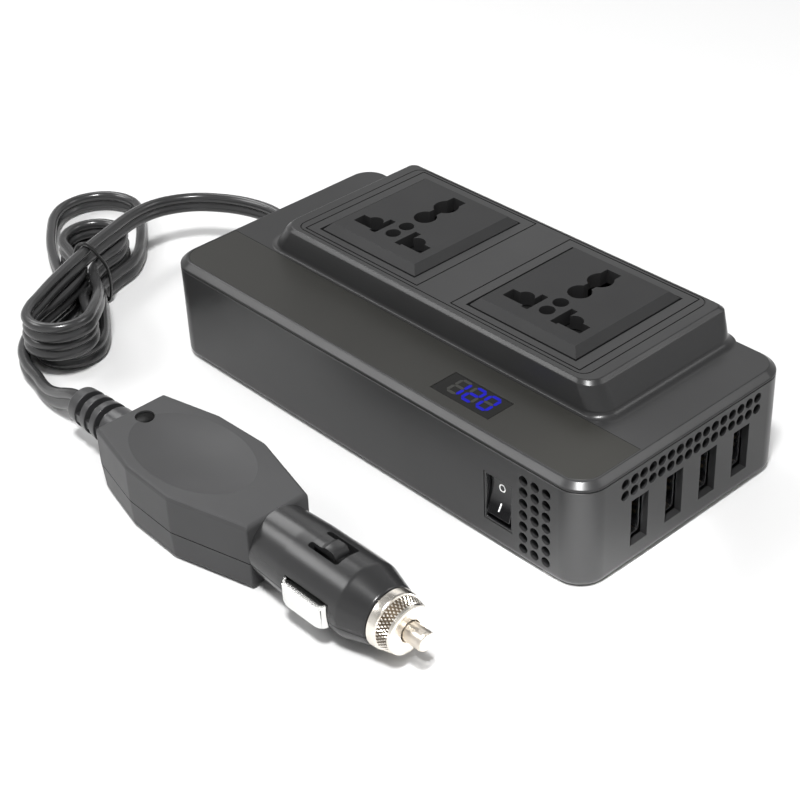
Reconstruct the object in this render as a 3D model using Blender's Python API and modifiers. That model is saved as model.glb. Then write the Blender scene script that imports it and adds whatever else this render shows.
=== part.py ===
"""Vehicle power inverter: flat case with two universal sockets, four USB ports and a 12 V plug on a tied cord.

Sizes are in millimetres and MM turns them into metres. +X runs along the case towards the USB end,
-Y is the side with the rocker switch, +Z is up, and the origin is under the middle of the case.
"""

import math

import bmesh
import bpy
from mathutils import Matrix, Vector

MM = 0.001
GAP = 0.3  # clearance between pieces that meet

# Case
CASE_LENGTH = 169.0
CASE_WIDTH = 82.0
CASE_CORNER = 8.5
CASE_BOTTOM = 0.8
PARTING_Z = 31.0
DECK_Z = 33.3
DECK_INSET = 2.0
WALL = 2.2
FLOOR_TOP = 3.0

# Raised block that carries the sockets: (height, half length, front edge, corner radius), foot to rim
RISE_BACK = 40.8
RISE_SECTION = (
    (31.3, 70.6, -16.4, 7.0),
    (33.3, 70.0, -16.2, 7.0),
    (33.6, 69.0, -15.9, 6.8),
    (34.2, 68.0, -15.7, 6.5),
    (35.0, 67.2, -15.6, 6.3),
    (40.9, 62.6, -14.7, 5.6),
    (41.9, 61.5, -13.6, 5.0),
)

# Sockets
SOCKET_X = (-31.0, 31.0)
SOCKET_Y = 13.8
SOCKET_HALF_X = 19.85
SOCKET_HALF_Y = 21.25
SOCKET_TOP = 43.95
SOCKET_SLOPE = 2.2
SOCKET_FACE_BOTTOM = 39.6
SOCKET_GROOVE = 0.7
SOCKET_BODY_BOTTOM = 27.3
PIN_Y = -11.6  # row of the line and neutral pins, from the socket's centre
EARTH_Y = 10.6
SHUTTER_TRAVEL = 4.5

# Display and overlay on the deck
OVERLAY_DEPTH = 0.35
DISPLAY_CENTRE = (34.1, -29.6)
DISPLAY_SIZE = (21.9, 9.9)

# Rocker switch on the front wall
SWITCH_CENTRE = (54.9, 15.1)
SWITCH_SIZE = (10.4, 15.6)
ROCKER_PIVOT_Y = -37.0
ROCKER_TILT = math.radians(-9.0)

# USB ports on the end wall
USB_PITCH = 13.7
USB_CENTRE_Y = 1.2
USB_CENTRE_Z = 13.8
USB_OPENING = (6.6, 14.8)
USB_SHELL = (5.7, 13.1, 13.8)
USB_MOUTH_X = 82.0
USB_COUNT = 4

# Ventilation holes
VENT_DIAMETER = 3.0
END_VENT_PITCH = 3.53
END_VENT_ROWS = (28.0, 24.4)
END_VENT_COLUMNS = 16
FRONT_VENT_X = (64.0, 68.0, 72.0)
FRONT_VENT_TOP = 26.8
FRONT_VENT_PITCH = 3.68
FRONT_VENT_ROWS = 7

# Fan at the cord end
FAN_CENTRE = (-77.7, -16.0, 16.2)
FAN_SIDE = 25.0
FAN_DEPTH = 8.0
FAN_BLADES = 5

# Cord: its exit, the hank it is tied in, and the plug
CORD_WIDTH = 6.8
CORD_EXIT = (15.0, 17.0)
HANK_CENTRE = Vector((-133.0, -42.0))
HANK_AXIS = Vector((0.76, -0.65)).normalized()
HANK_SIDE = Vector((-HANK_AXIS.y, HANK_AXIS.x))
HANK_FAR = (-43.5, -1.0, 16.9)  # along the hank, across it, radius of its far end
HANK_NEAR = (40.5, -3.0, 12.6)
HANK_SHOULDER = (-14.0, 16.6)
HANK_WAIST = 8.0
TIE_PLACE = 5.0  # along the hank
HANK_HEIGHT = 20.6
TIE_THICKNESS = 1.3
TIE_WIDTH = 2.4
LEAD_ROUTE = (
    (-100.0, 15.0, 17.0),
    (-107.5, 15.0, 16.9),
    (-116.0, 13.4, 16.6),
    (-123.5, 10.2, 16.4),
    (-131.8, 3.8, 16.4),
    (-136.3, -4.0, 16.7),
    (-137.6, -10.4, 17.0),
)
TAIL_ROUTE = (
    (-96.5, -85.2, 3.5),
    (-92.0, -86.4, 3.6),
    (-86.5, -87.4, 4.4),
    (-80.5, -87.9, 6.4),
    (-75.5, -88.0, 8.7),
    (-71.5, -88.0, 10.3),
    (-68.0, -88.0, 10.9),
)

# Plug
PLUG_Y = -88.0
PLUG_AXIS_Z = 10.9
PLUG_SPLIT_Z = 9.0
PLUG_TOP = 20.9
PLUG_BOTTOM = 0.15
PLUG_BODY_SIDE = ((-42.0, 11.7), (-22.0, 16.2), (-3.0, 16.8), (22.3, 10.3))
PLUG_WALL = 2.4
BARREL_RADIUS = 10.8
BARREL_END = 56.0
SHOULDER_END = 64.0
SHOULDER_RADIUS = 8.4
BORE_RADIUS = 4.6
NECK_START = 59.6
CAP_END = 71.6
TIP_END = 77.5
TIP_TRAVEL = 4.0
CONTACT_X = (37.0, 52.8)
CONTACT_Z = (6.9, 13.9)
CONTACT_INNER = 7.2
LATCH_X = (38.5, 49.8)
LATCH_HALF_WIDTH = 3.9

COLOURS = {
    "graphite": ((0.075, 0.075, 0.078), 0.42, 0.0),
    "overlay": ((0.055, 0.055, 0.05), 0.35, 0.0),
    "lens": ((0.01, 0.01, 0.012), 0.08, 0.0),
    "socket": ((0.085, 0.085, 0.088), 0.5, 0.0),
    "black": ((0.012, 0.012, 0.013), 0.3, 0.0),
    "shutter": ((0.12, 0.12, 0.12), 0.5, 0.0),
    "brass": ((0.72, 0.53, 0.25), 0.3, 1.0),
    "steel": ((0.62, 0.62, 0.63), 0.28, 1.0),
    "nickel": ((0.82, 0.79, 0.73), 0.22, 1.0),
    "board": ((0.02, 0.16, 0.07), 0.45, 0.0),
    "copper": ((0.5, 0.2, 0.08), 0.4, 0.0),
    "sleeve": ((0.03, 0.05, 0.2), 0.35, 0.0),
    "aluminium": ((0.6, 0.6, 0.62), 0.4, 1.0),
    "rubber": ((0.02, 0.02, 0.02), 0.7, 0.0),
    "glass": ((0.7, 0.75, 0.75), 0.05, 0.0),
}


def clear_scene():
    for obj in list(bpy.data.objects):
        bpy.data.objects.remove(obj, do_unlink=True)


def make_collection(name):
    collection = bpy.data.collections.new(name)
    bpy.context.scene.collection.children.link(collection)
    return collection


def make_material(name):
    colour, roughness, metallic = COLOURS[name]
    material = bpy.data.materials.new(name)
    material.use_nodes = True
    shader = material.node_tree.nodes["Principled BSDF"]
    shader.inputs["Base Color"].default_value = (*colour, 1.0)
    shader.inputs["Roughness"].default_value = roughness
    shader.inputs["Metallic"].default_value = metallic
    material.diffuse_color = (*colour, 1.0)
    return material


def add_object(name, data, material):
    """A new part, or a cutter when it has no material."""
    obj = bpy.data.objects.new(name, data)
    if material:
        PARTS.objects.link(obj)
        data.materials.append(make_material(material))
    else:
        CUTTERS.objects.link(obj)
        obj.hide_render = True
        obj.display_type = "WIRE"
    return obj


def object_from_bmesh(name, bm, material=None):
    bmesh.ops.recalc_face_normals(bm, faces=bm.faces)
    mesh = bpy.data.meshes.new(name)
    bm.to_mesh(mesh)
    bm.free()
    return add_object(name, mesh, material)


def move_origin(obj, point):
    """Puts an object's origin at a point in millimetres and leaves its shape where it is."""
    place = Vector(point) * MM
    obj.data.transform(Matrix.Translation(-place))
    obj.location = place


def add_box(bm, low, high):
    """Adds a box between two corners, in millimetres."""
    low, high = Vector(low) * MM, Vector(high) * MM
    size = high - low
    place = Matrix.Translation((low + high) / 2) @ Matrix.Diagonal((*size, 1.0))
    bmesh.ops.create_cube(bm, size=1.0, matrix=place)


def add_cylinder(bm, start, end, radius, end_radius=None, segments=16):
    """Adds a cylinder or a cone from one point to another, in millimetres."""
    start, end = Vector(start) * MM, Vector(end) * MM
    along = end - start
    turn = along.to_track_quat("Z", "Y").to_matrix().to_4x4()
    bmesh.ops.create_cone(
        bm,
        cap_ends=True,
        segments=segments,
        radius1=radius * MM,
        radius2=(radius if end_radius is None else end_radius) * MM,
        depth=along.length,
        matrix=Matrix.Translation((start + end) / 2) @ turn,
    )


def box(name, low, high, material=None):
    bm = bmesh.new()
    add_box(bm, low, high)
    return object_from_bmesh(name, bm, material)


def boxes(name, corners, material=None):
    """Several separate boxes in one object, for use as a cutter."""
    bm = bmesh.new()
    for low, high in corners:
        add_box(bm, low, high)
    return object_from_bmesh(name, bm, material)


def cylinder(name, start, end, radius, material=None, segments=16):
    bm = bmesh.new()
    add_cylinder(bm, start, end, radius, segments=segments)
    return object_from_bmesh(name, bm, material)


def cylinders(name, ends, radius, segments):
    """Several separate cylinders in one cutter."""
    bm = bmesh.new()
    for start, end in ends:
        add_cylinder(bm, start, end, radius, segments=segments)
    return object_from_bmesh(name, bm)


def turned(name, profile, along, centre, material, segments=20):
    """A solid of revolution from (distance along the axis, radius) points, with a Screw modifier.

    along is the axis as a unit vector and centre is a point on it where distance is 0.
    """
    bm = bmesh.new()
    points = [(distance, radius) for distance, radius in reversed(profile)]
    verts = [bm.verts.new((radius * MM, 0.0, distance * MM)) for distance, radius in points]
    for first, second in zip(verts, verts[1:]):
        bm.edges.new((first, second))
    mesh = bpy.data.meshes.new(name)
    bm.to_mesh(mesh)
    bm.free()
    obj = add_object(name, mesh, material)
    screw = obj.modifiers.new("turn", "SCREW")
    screw.axis = "Z"
    screw.steps = segments
    screw.render_steps = segments
    screw.use_merge_vertices = True
    screw.merge_threshold = 0.00001
    obj.rotation_mode = "QUATERNION"
    obj.rotation_quaternion = Vector(along).to_track_quat("Z", "Y")
    obj.location = Vector(centre) * MM
    return obj


def arc(centre, radius, start, end, steps):
    """Points along an arc, with angles in degrees."""
    points = []
    for i in range(steps + 1):
        angle = math.radians(start + (end - start) * i / steps)
        points.append((centre[0] + radius * math.cos(angle), centre[1] + radius * math.sin(angle)))
    return points


def rounded_outline(x0, x1, y0, y1, radius, steps=4):
    """A rectangle with round corners, anticlockwise from its lower right corner."""
    return (
        arc((x1 - radius, y0 + radius), radius, -90, 0, steps)
        + arc((x1 - radius, y1 - radius), radius, 0, 90, steps)
        + arc((x0 + radius, y1 - radius), radius, 90, 180, steps)
        + arc((x0 + radius, y0 + radius), radius, 180, 270, steps)
    )


def case_outline(inset, steps=4):
    half_x = CASE_LENGTH / 2 - inset
    half_y = CASE_WIDTH / 2 - inset
    return rounded_outline(-half_x, half_x, -half_y, half_y, CASE_CORNER - inset, steps)


def prism(name, outline, low, high, material=None, axis="Z"):
    """A flat outline extruded between two distances along an axis, from a filled 2D curve."""
    curve = bpy.data.curves.new(name, "CURVE")
    curve.dimensions = "2D"
    curve.fill_mode = "BOTH"
    curve.extrude = (high - low) / 2 * MM
    spline = curve.splines.new("POLY")
    spline.points.add(len(outline) - 1)
    for point, (u, v) in zip(spline.points, outline):
        point.co = (u * MM, v * MM, 0.0, 1.0)
    spline.use_cyclic_u = True
    flat = bpy.data.objects.new(name + "_outline", curve)
    mesh = bpy.data.meshes.new_from_object(flat)
    bpy.data.objects.remove(flat)
    bpy.data.curves.remove(curve)
    # The outline's own axes become Y and Z for an extrusion along X, and X and Z along Y.
    turn = {
        "Z": Matrix.Identity(3),
        "X": Matrix(((0, 0, 1), (1, 0, 0), (0, 1, 0))),
        "Y": Matrix(((1, 0, 0), (0, 0, -1), (0, 1, 0))),
    }[axis]
    middle = Vector((0.0, 0.0, (low + high) / 2 * (-1 if axis == "Y" else 1) * MM))
    bm = bmesh.new()
    bm.from_mesh(mesh)
    bpy.data.meshes.remove(mesh)
    bmesh.ops.remove_doubles(bm, verts=bm.verts, dist=0.000001)
    bmesh.ops.translate(bm, verts=bm.verts, vec=middle)
    bmesh.ops.transform(bm, matrix=turn.to_4x4(), verts=bm.verts)
    return object_from_bmesh(name, bm, material)


def loft(name, rings, material=None):
    """A solid through a stack of rings of points with the same count, closed at both ends."""
    bm = bmesh.new()
    rows = [[bm.verts.new(Vector(point) * MM) for point in ring] for ring in rings]
    for lower, upper in zip(rows, rows[1:]):
        for i, first in enumerate(lower):
            j = (i + 1) % len(lower)
            bm.faces.new((first, lower[j], upper[j], upper[i]))
    bm.faces.new(reversed(rows[0]))
    bm.faces.new(rows[-1])
    return object_from_bmesh(name, bm, material)


def at_height(outline, z):
    return [(x, y, z) for x, y in outline]


def boolean(obj, other, operation="DIFFERENCE"):
    modifier = obj.modifiers.new(other.name, "BOOLEAN")
    modifier.operation = operation
    modifier.solver = "EXACT"
    modifier.object = other
    return obj


def smooth_curve(points, per_span=4):
    """Points on the Catmull-Rom curve through the given ones."""
    ends = [2 * Vector(points[0]) - Vector(points[1]), 2 * Vector(points[-1]) - Vector(points[-2])]
    knots = [ends[0], *[Vector(p) for p in points], ends[1]]
    found = []
    for a, b, c, d in zip(knots, knots[1:], knots[2:], knots[3:]):
        for i in range(per_span):
            t = i / per_span
            linear = (c - a) * t
            square = (2 * a - 5 * b + 4 * c - d) * t**2
            cube = (3 * b - a - 3 * c + d) * t**3
            found.append(0.5 * (2 * b + linear + square + cube))
    return found + [knots[-2]]


def tube(name, points, radius, material, resolution=2):
    """A round bar along a line of points, with closed ends."""
    curve = bpy.data.curves.new(name, "CURVE")
    curve.dimensions = "3D"
    curve.bevel_depth = radius * MM
    curve.bevel_resolution = resolution
    curve.use_fill_caps = True
    spline = curve.splines.new("POLY")
    spline.points.add(len(points) - 1)
    for knot, point in zip(spline.points, points):
        knot.co = (*(Vector(point) * MM), 1.0)
    return add_object(name, curve, material)


# Case shells and what is on them


def vent_holes():
    """Cutter for the round holes in the end wall and beside the switch."""
    bm = bmesh.new()
    radius = VENT_DIAMETER / 2
    end_x = CASE_LENGTH / 2
    front_y = -CASE_WIDTH / 2
    for row_z in END_VENT_ROWS:
        for column in range(END_VENT_COLUMNS):
            y = USB_CENTRE_Y + (column - (END_VENT_COLUMNS - 1) / 2) * END_VENT_PITCH
            add_cylinder(bm, (end_x - 4, y, row_z), (end_x + 2, y, row_z), radius, segments=6)
    for x in FRONT_VENT_X:
        for row in range(FRONT_VENT_ROWS):
            z = FRONT_VENT_TOP - row * FRONT_VENT_PITCH
            add_cylinder(bm, (x, front_y - 2, z), (x, front_y + 4, z), radius, segments=6)
    return object_from_bmesh("vent_cutter", bm)


def wall_openings():
    """Cutter for the switch and USB openings and for the air slots in front of the fan."""
    front_y = -CASE_WIDTH / 2
    end_x = CASE_LENGTH / 2
    switch_x, switch_z = SWITCH_CENTRE
    half_x, half_z = SWITCH_SIZE[0] / 2, SWITCH_SIZE[1] / 2
    switch_low = (switch_x - half_x, front_y - 2, switch_z - half_z)
    switch_high = (switch_x + half_x, front_y + 4, switch_z + half_z)
    corners = [(switch_low, switch_high)]
    for y in usb_places():
        half_y, half_z = USB_OPENING[0] / 2, USB_OPENING[1] / 2
        corners.append(
            ((end_x - 4, y - half_y, USB_CENTRE_Z - half_z), (end_x + 2, y + half_y, USB_CENTRE_Z + half_z))
        )
    for i in range(5):
        z = FAN_CENTRE[2] + (i - 2) * 4.2
        corners.append(((-end_x - 2, FAN_CENTRE[1] - 10, z - 1.1), (-end_x + 4, FAN_CENTRE[1] + 10, z + 1.1)))
    return boxes("opening_cutter", corners)


def usb_places():
    return [USB_CENTRE_Y + (i - (USB_COUNT - 1) / 2) * USB_PITCH for i in range(USB_COUNT)]


def foot_places():
    return [(sx * 72.0, sy * 24.0) for sx in (-1, 1) for sy in (-1, 1)]


def screw_places():
    return [(sx * 66.0, sy * 33.0) for sx in (-1, 1) for sy in (-1, 1)]


def lower_case():
    shell = prism("lower_case", case_outline(0), CASE_BOTTOM, PARTING_Z - GAP / 2, "graphite")
    boolean(shell, prism("case_cavity", case_outline(WALL), FLOOR_TOP, PARTING_Z + 5))
    boolean(shell, vent_holes())
    boolean(shell, wall_openings())
    exit_y, exit_z = CORD_EXIT
    end_x = -CASE_LENGTH / 2
    boolean(shell, cylinder("cord_hole", (end_x - 2, exit_y, exit_z), (end_x + 4, exit_y, exit_z), 5.3))
    foot_seats = [((x, y, 0.0), (x, y, CASE_BOTTOM + 0.5)) for x, y in foot_places()]
    boolean(shell, cylinders("foot_seat_cutter", foot_seats, 4.8, 12))
    head_seats = [((x, y, 0.0), (x, y, CASE_BOTTOM + 1.2)) for x, y in screw_places()]
    boolean(shell, cylinders("screw_seat_cutter", head_seats, 2.9, 12))
    shank_holes = [((x, y, 0.0), (x, y, 6.0)) for x, y in screw_places()]
    boolean(shell, cylinders("screw_hole_cutter", shank_holes, 1.7, 8))


def rise_ring(half_x, front_y, radius, z, inset=0.0):
    outline = rounded_outline(
        -half_x + inset, half_x - inset, front_y + inset, RISE_BACK - inset, radius - inset * 0.6
    )
    return at_height(outline, z)


def rise_block():
    return loft("rise_block", [rise_ring(half_x, front, r, z) for z, half_x, front, r in RISE_SECTION])


def rise_cavity():
    """The room under the raised block, open downwards, which follows its upper walls."""
    walls = RISE_SECTION[-3:]
    rings = [rise_ring(half_x, front, r, z - WALL, WALL) for z, half_x, front, r in walls]
    half_x, front, radius = walls[0][1:]
    return loft("rise_cavity", [rise_ring(half_x, front, radius, 25.0, WALL)] + rings)


def top_cover():
    cover = loft(
        "top_cover",
        [at_height(case_outline(0), PARTING_Z + GAP / 2), at_height(case_outline(DECK_INSET), DECK_Z)],
        "graphite",
    )
    boolean(cover, rise_block(), "UNION")
    boolean(cover, rise_cavity())
    half_x = SOCKET_HALF_X + SOCKET_GROOVE
    half_y = SOCKET_HALF_Y + SOCKET_GROOVE
    windows = [
        ((x - half_x, SOCKET_Y - half_y, 35.0), (x + half_x, SOCKET_Y + half_y, 50.0)) for x in SOCKET_X
    ]
    boolean(cover, boxes("socket_windows", windows))
    boolean(cover, prism("overlay_seat", overlay_outline(0.0), DECK_Z - OVERLAY_DEPTH - GAP, DECK_Z + 3))
    boolean(cover, box("display_hole", *display_corners(0.0, 25.0, 36.0)))


def overlay_outline(inset):
    half_x = CASE_LENGTH / 2 - DECK_INSET - 0.5 - inset
    front = -CASE_WIDTH / 2 + DECK_INSET + 0.5 + inset
    back = RISE_SECTION[1][2] - 0.7 - inset
    corner = CASE_CORNER - DECK_INSET
    return (
        [(half_x, back), (-half_x, back)]
        + arc((-half_x + corner, front + corner), corner, 180, 270, 4)
        + arc((half_x - corner, front + corner), corner, 270, 360, 4)
    )


def display_corners(inset, low, high):
    x, y = DISPLAY_CENTRE
    half_x, half_y = DISPLAY_SIZE[0] / 2 - inset, DISPLAY_SIZE[1] / 2 - inset
    return (x - half_x, y - half_y, low), (x + half_x, y + half_y, high)


def overlay_and_display():
    overlay = prism("overlay_panel", overlay_outline(GAP), DECK_Z - OVERLAY_DEPTH, DECK_Z, "overlay")
    boolean(overlay, box("overlay_window", *display_corners(0.0, 25.0, 36.0)))
    box("display_lens", *display_corners(GAP, DECK_Z - 1.3, DECK_Z - 0.05), "lens")
    box("display_module", *display_corners(1.4, 26.0, DECK_Z - 1.6), "black")


def feet_and_screws():
    for number, (x, y) in enumerate(foot_places(), 1):
        cylinder(f"foot_{number}", (x, y, 0.0), (x, y, CASE_BOTTOM + 0.2), 4.4, "rubber", 16)
    profile = ((0.0, 0.0), (0.0, 2.5), (0.8, 2.5), (0.8, 1.35), (9.0, 1.35), (9.8, 0.0))
    for number, (x, y) in enumerate(screw_places(), 1):
        turned(f"screw_{number}", profile, (0, 0, 1), (x, y, CASE_BOTTOM + 0.1), "steel", 12)


# Sockets


def pin_openings():
    """Cutters for the pin apertures of both socket faces, grouped so that no two shapes in one overlap."""
    low, high = SOCKET_FACE_BOTTOM - 2, SOCKET_TOP + 2
    wide, slots, links = [], [], []
    round_pins, small, middle, earth = [], [], [], []

    def upright(x, y):
        return (x, SOCKET_Y + y, low), (x, SOCKET_Y + y, high)

    def rectangle(x0, x1, y0, y1):
        return (min(x0, x1), SOCKET_Y + y0, low), (max(x0, x1), SOCKET_Y + y1, high)

    for centre in SOCKET_X:
        for side in (-1, 1):
            wide.append(rectangle(centre + side * 6.2, centre + side * 14.4, PIN_Y - 2.2, PIN_Y + 2.1))
            slots.append(rectangle(centre + side * 4.3, centre + side * 6.6, PIN_Y - 3.0, PIN_Y + 5.6))
            round_pins.append(upright(centre + side * 9.1, PIN_Y + 1.4))
        small += [upright(centre, -11.1), upright(centre, -5.7)]
        middle.append(upright(centre, 2.0))
        earth.append(upright(centre, EARTH_Y))
        links.append(rectangle(centre - 2.6, centre + 2.6, EARTH_Y + 2.0, EARTH_Y + 5.7))
        links.append(rectangle(centre - 1.5, centre + 1.5, 4.5, EARTH_Y - 2.6))
    return (
        boxes("pin_wide_cutter", wide),
        boxes("pin_slot_cutter", slots),
        cylinders("pin_round_cutter", round_pins, 2.7, 16),
        cylinders("pin_small_cutter", small, 2.3, 12),
        cylinders("pin_middle_cutter", middle, 3.5, 16),
        cylinders("pin_earth_cutter", earth, 3.85, 16),
        boxes("pin_link_cutter", links),
    )


def square_ring(centre, half_x, half_y, z):
    return [
        (centre - half_x, SOCKET_Y - half_y, z),
        (centre + half_x, SOCKET_Y - half_y, z),
        (centre + half_x, SOCKET_Y + half_y, z),
        (centre - half_x, SOCKET_Y + half_y, z),
    ]


def u_clip(name, centre_x, centre_y, width, gap, axis_low):
    """A sprung contact: a strip bent to a U, open at the top."""
    thick = 0.8
    outer = gap / 2 + thick
    top = axis_low + 7.2
    outline = [
        (centre_y - outer, axis_low),
        (centre_y + outer, axis_low),
        (centre_y + outer, top),
        (centre_y + outer - thick, top),
        (centre_y + outer - thick, axis_low + thick),
        (centre_y - outer + thick, axis_low + thick),
        (centre_y - outer + thick, top),
        (centre_y - outer, top),
    ]
    prism(name, outline, centre_x - width / 2, centre_x + width / 2, "brass", "X")


def sockets():
    cutters = pin_openings()
    for side, x in zip(("left", "right"), SOCKET_X):
        half_x, half_y = SOCKET_HALF_X, SOCKET_HALF_Y
        face = loft(
            f"socket_{side}_face",
            [
                square_ring(x, half_x, half_y, SOCKET_FACE_BOTTOM),
                square_ring(x, half_x, half_y, SOCKET_TOP - SOCKET_SLOPE),
                square_ring(x, half_x - SOCKET_SLOPE, half_y - SOCKET_SLOPE, SOCKET_TOP),
            ],
            "socket",
        )
        for cutter in cutters:
            boolean(face, cutter)

        low = (x - 19.4, SOCKET_Y - 20.8, SOCKET_BODY_BOTTOM)
        high = (x + 19.4, SOCKET_Y + 20.8, SOCKET_FACE_BOTTOM - GAP)
        body = box(f"socket_{side}_body", low, high, "black")
        inner_low = (low[0] + 1.4, low[1] + 1.4, low[2] + 1.3)
        inner_high = (high[0] - 1.4, high[1] - 1.4, high[2] + 2)
        boolean(body, box(f"socket_{side}_body_cavity", inner_low, inner_high))

        shutter = prism(
            f"socket_{side}_shutter",
            [
                (SOCKET_Y - 15.4, 36.7),
                (SOCKET_Y - 5.5, 36.7),
                (SOCKET_Y - 5.5, 39.2),
                (SOCKET_Y - 9.0, 39.2),
                (SOCKET_Y - 15.4, 37.3),
            ],
            x - 15.2,
            x + 15.2,
            "shutter",
            "X",
        )
        move_origin(shutter, (x, SOCKET_Y - 10.5, 37.9))

        clip_z = SOCKET_BODY_BOTTOM + 1.3 + GAP
        u_clip(f"socket_{side}_line_contact", x - 10.2, SOCKET_Y + PIN_Y, 8.4, 4.6, clip_z)
        u_clip(f"socket_{side}_neutral_contact", x + 10.2, SOCKET_Y + PIN_Y, 8.4, 4.6, clip_z)
        u_clip(f"socket_{side}_earth_contact", x, SOCKET_Y + EARTH_Y, 6.0, 5.4, clip_z)


# Switch, USB ports, fan and electronics


def switch():
    front_y = -CASE_WIDTH / 2
    x, z = SWITCH_CENTRE
    half_x, half_z = SWITCH_SIZE[0] / 2 - GAP, SWITCH_SIZE[1] / 2 - GAP
    frame = box(
        "switch_frame", (x - half_x, front_y, z - half_z), (x + half_x, front_y + 13.0, z + half_z), "black"
    )
    rim = 0.7
    boolean(
        frame,
        box(
            "switch_frame_cavity",
            (x - half_x + rim, front_y - 2, z - half_z + rim),
            (x + half_x - rim, front_y + 11.5, z + half_z - rim),
        ),
    )
    # The rocker's section is drawn upright around its pivot and then tilted to the side that is pressed.
    section = [(-3.3, -5.8), (-2.2, 0.0), (-3.3, 5.8), (1.0, 5.8), (4.5, 3.0), (4.5, -3.0), (1.0, -5.8)]
    cos, sin = math.cos(ROCKER_TILT), math.sin(ROCKER_TILT)
    outline = [(ROCKER_PIVOT_Y + u * cos - v * sin, z + u * sin + v * cos) for u, v in section]
    rocker = prism("switch_rocker", outline, x - half_x + rim + GAP, x + half_x - rim - GAP, "black", "X")
    move_origin(rocker, (x, ROCKER_PIVOT_Y, z))


def usb_ports():
    depth_y, depth_z, length = USB_SHELL
    for number, y in enumerate(usb_places(), 1):
        low = (USB_MOUTH_X - length, y - depth_y / 2, USB_CENTRE_Z - depth_z / 2)
        high = (USB_MOUTH_X, y + depth_y / 2, USB_CENTRE_Z + depth_z / 2)
        shell = box(f"usb_shell_{number}", low, high, "steel")
        skin = 0.35
        inner_low = tuple(value + skin for value in low)
        inner_high = (USB_MOUTH_X + 2, high[1] - skin, high[2] - skin)
        boolean(shell, box(f"usb_cavity_{number}", inner_low, inner_high))
        back = low[0] + skin + GAP
        tongue = [
            (back, y - 2.2),
            (back + 2.0, y - 2.2),
            (back + 2.0, y - 1.8),
            (79.8, y - 1.8),
            (79.8, y),
            (back + 2.0, y),
            (back + 2.0, y + 2.2),
            (back, y + 2.2),
        ]
        prism(f"usb_tongue_{number}", tongue, USB_CENTRE_Z - 5.6, USB_CENTRE_Z + 5.6, "black")
    board_x = USB_MOUTH_X - length - GAP
    box("usb_board", (board_x - 1.6, -27.0, 5.0), (board_x, 30.0, 26.0), "board")


def fan():
    x, y, z = FAN_CENTRE
    half, depth = FAN_SIDE / 2, FAN_DEPTH / 2
    frame = box("fan_frame", (x - depth, y - half, z - half), (x + depth, y + half, z + half), "black")
    boolean(frame, cylinder("fan_bore", (x - depth - 2, y, z), (x + depth - 1.2, y, z), 11.6, None, 24))
    vents = [
        ((x, y + sy * 6.2 - 4.4, z + sz * 6.2 - 4.4), (x + depth + 2, y + sy * 6.2 + 4.4, z + sz * 6.2 + 4.4))
        for sy in (-1, 1)
        for sz in (-1, 1)
    ]
    boolean(frame, boxes("fan_vents", vents))

    bm = bmesh.new()
    add_cylinder(bm, (x - depth + 0.4, y, z), (x + depth - 1.6, y, z), 5.0, segments=20)
    rotor = object_from_bmesh("fan_rotor", bm, "black")
    blades = bmesh.new()
    for i in range(FAN_BLADES):
        turn = Matrix.Rotation(2 * math.pi * i / FAN_BLADES, 4, "X")
        pitch = Matrix.Rotation(math.radians(38), 4, "Z")
        centre = Vector((x - 0.6, y, z)) * MM
        place = Matrix.Translation(centre) @ turn @ Matrix.Translation((0.0, 0.0, 7.5 * MM)) @ pitch
        size = Matrix.Diagonal((0.8 * MM, 6.4 * MM, 6.6 * MM, 1.0))
        bmesh.ops.create_cube(blades, size=1.0, matrix=place @ size)
    boolean(rotor, object_from_bmesh("fan_blades", blades), "UNION")
    move_origin(rotor, FAN_CENTRE)


def electronics():
    board_top = FLOOR_TOP + GAP + 1.6
    base = board_top + GAP
    box("main_board", (-52.0, -37.0, FLOOR_TOP + GAP), (62.0, 37.0, board_top), "board")
    box("transformer", (-18.0, -31.0, base), (8.0, -7.0, 25.0), "copper")
    for number, x in enumerate((18.0, 31.0), 1):
        cylinder(f"capacitor_{number}", (x, -22.0, base), (x, -22.0, 24.0), 5.0, "sleeve", 16)
    fins = [(-50.0, base), (-26.0, base), (-26.0, 9.4)]
    for i in range(5):
        x = -26.0 - i * 5.4
        fins += [(x, 24.0), (x - 1.6, 24.0), (x - 1.6, 9.4)]
        if i < 4:
            fins.append((x - 5.4, 9.4))
    prism("heat_sink", fins, -28.0, 2.0, "aluminium", "Y")


# Cord


def hank_point(along, across):
    return HANK_CENTRE + HANK_AXIS * along + HANK_SIDE * across


def hank_outline(grow):
    """Outline of the hank: two round ends joined over a narrow waist."""
    angle = math.degrees(math.atan2(HANK_AXIS.y, HANK_AXIS.x))
    far = arc(hank_point(*HANK_FAR[:2]), HANK_FAR[2] + grow, angle + 105, angle + 255, 8)
    near = arc(hank_point(*HANK_NEAR[:2]), HANK_NEAR[2] + grow, angle - 105, angle + 105, 10)
    waist = HANK_WAIST + grow
    ends = (TIE_PLACE - 6.0, TIE_PLACE + 6.0)
    left = [tuple(hank_point(along, -waist)) for along in ends]
    right = [tuple(hank_point(along, waist)) for along in reversed(ends)]
    along, across = HANK_SHOULDER
    return far + left + near + right + [tuple(hank_point(along, across + grow))]


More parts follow.
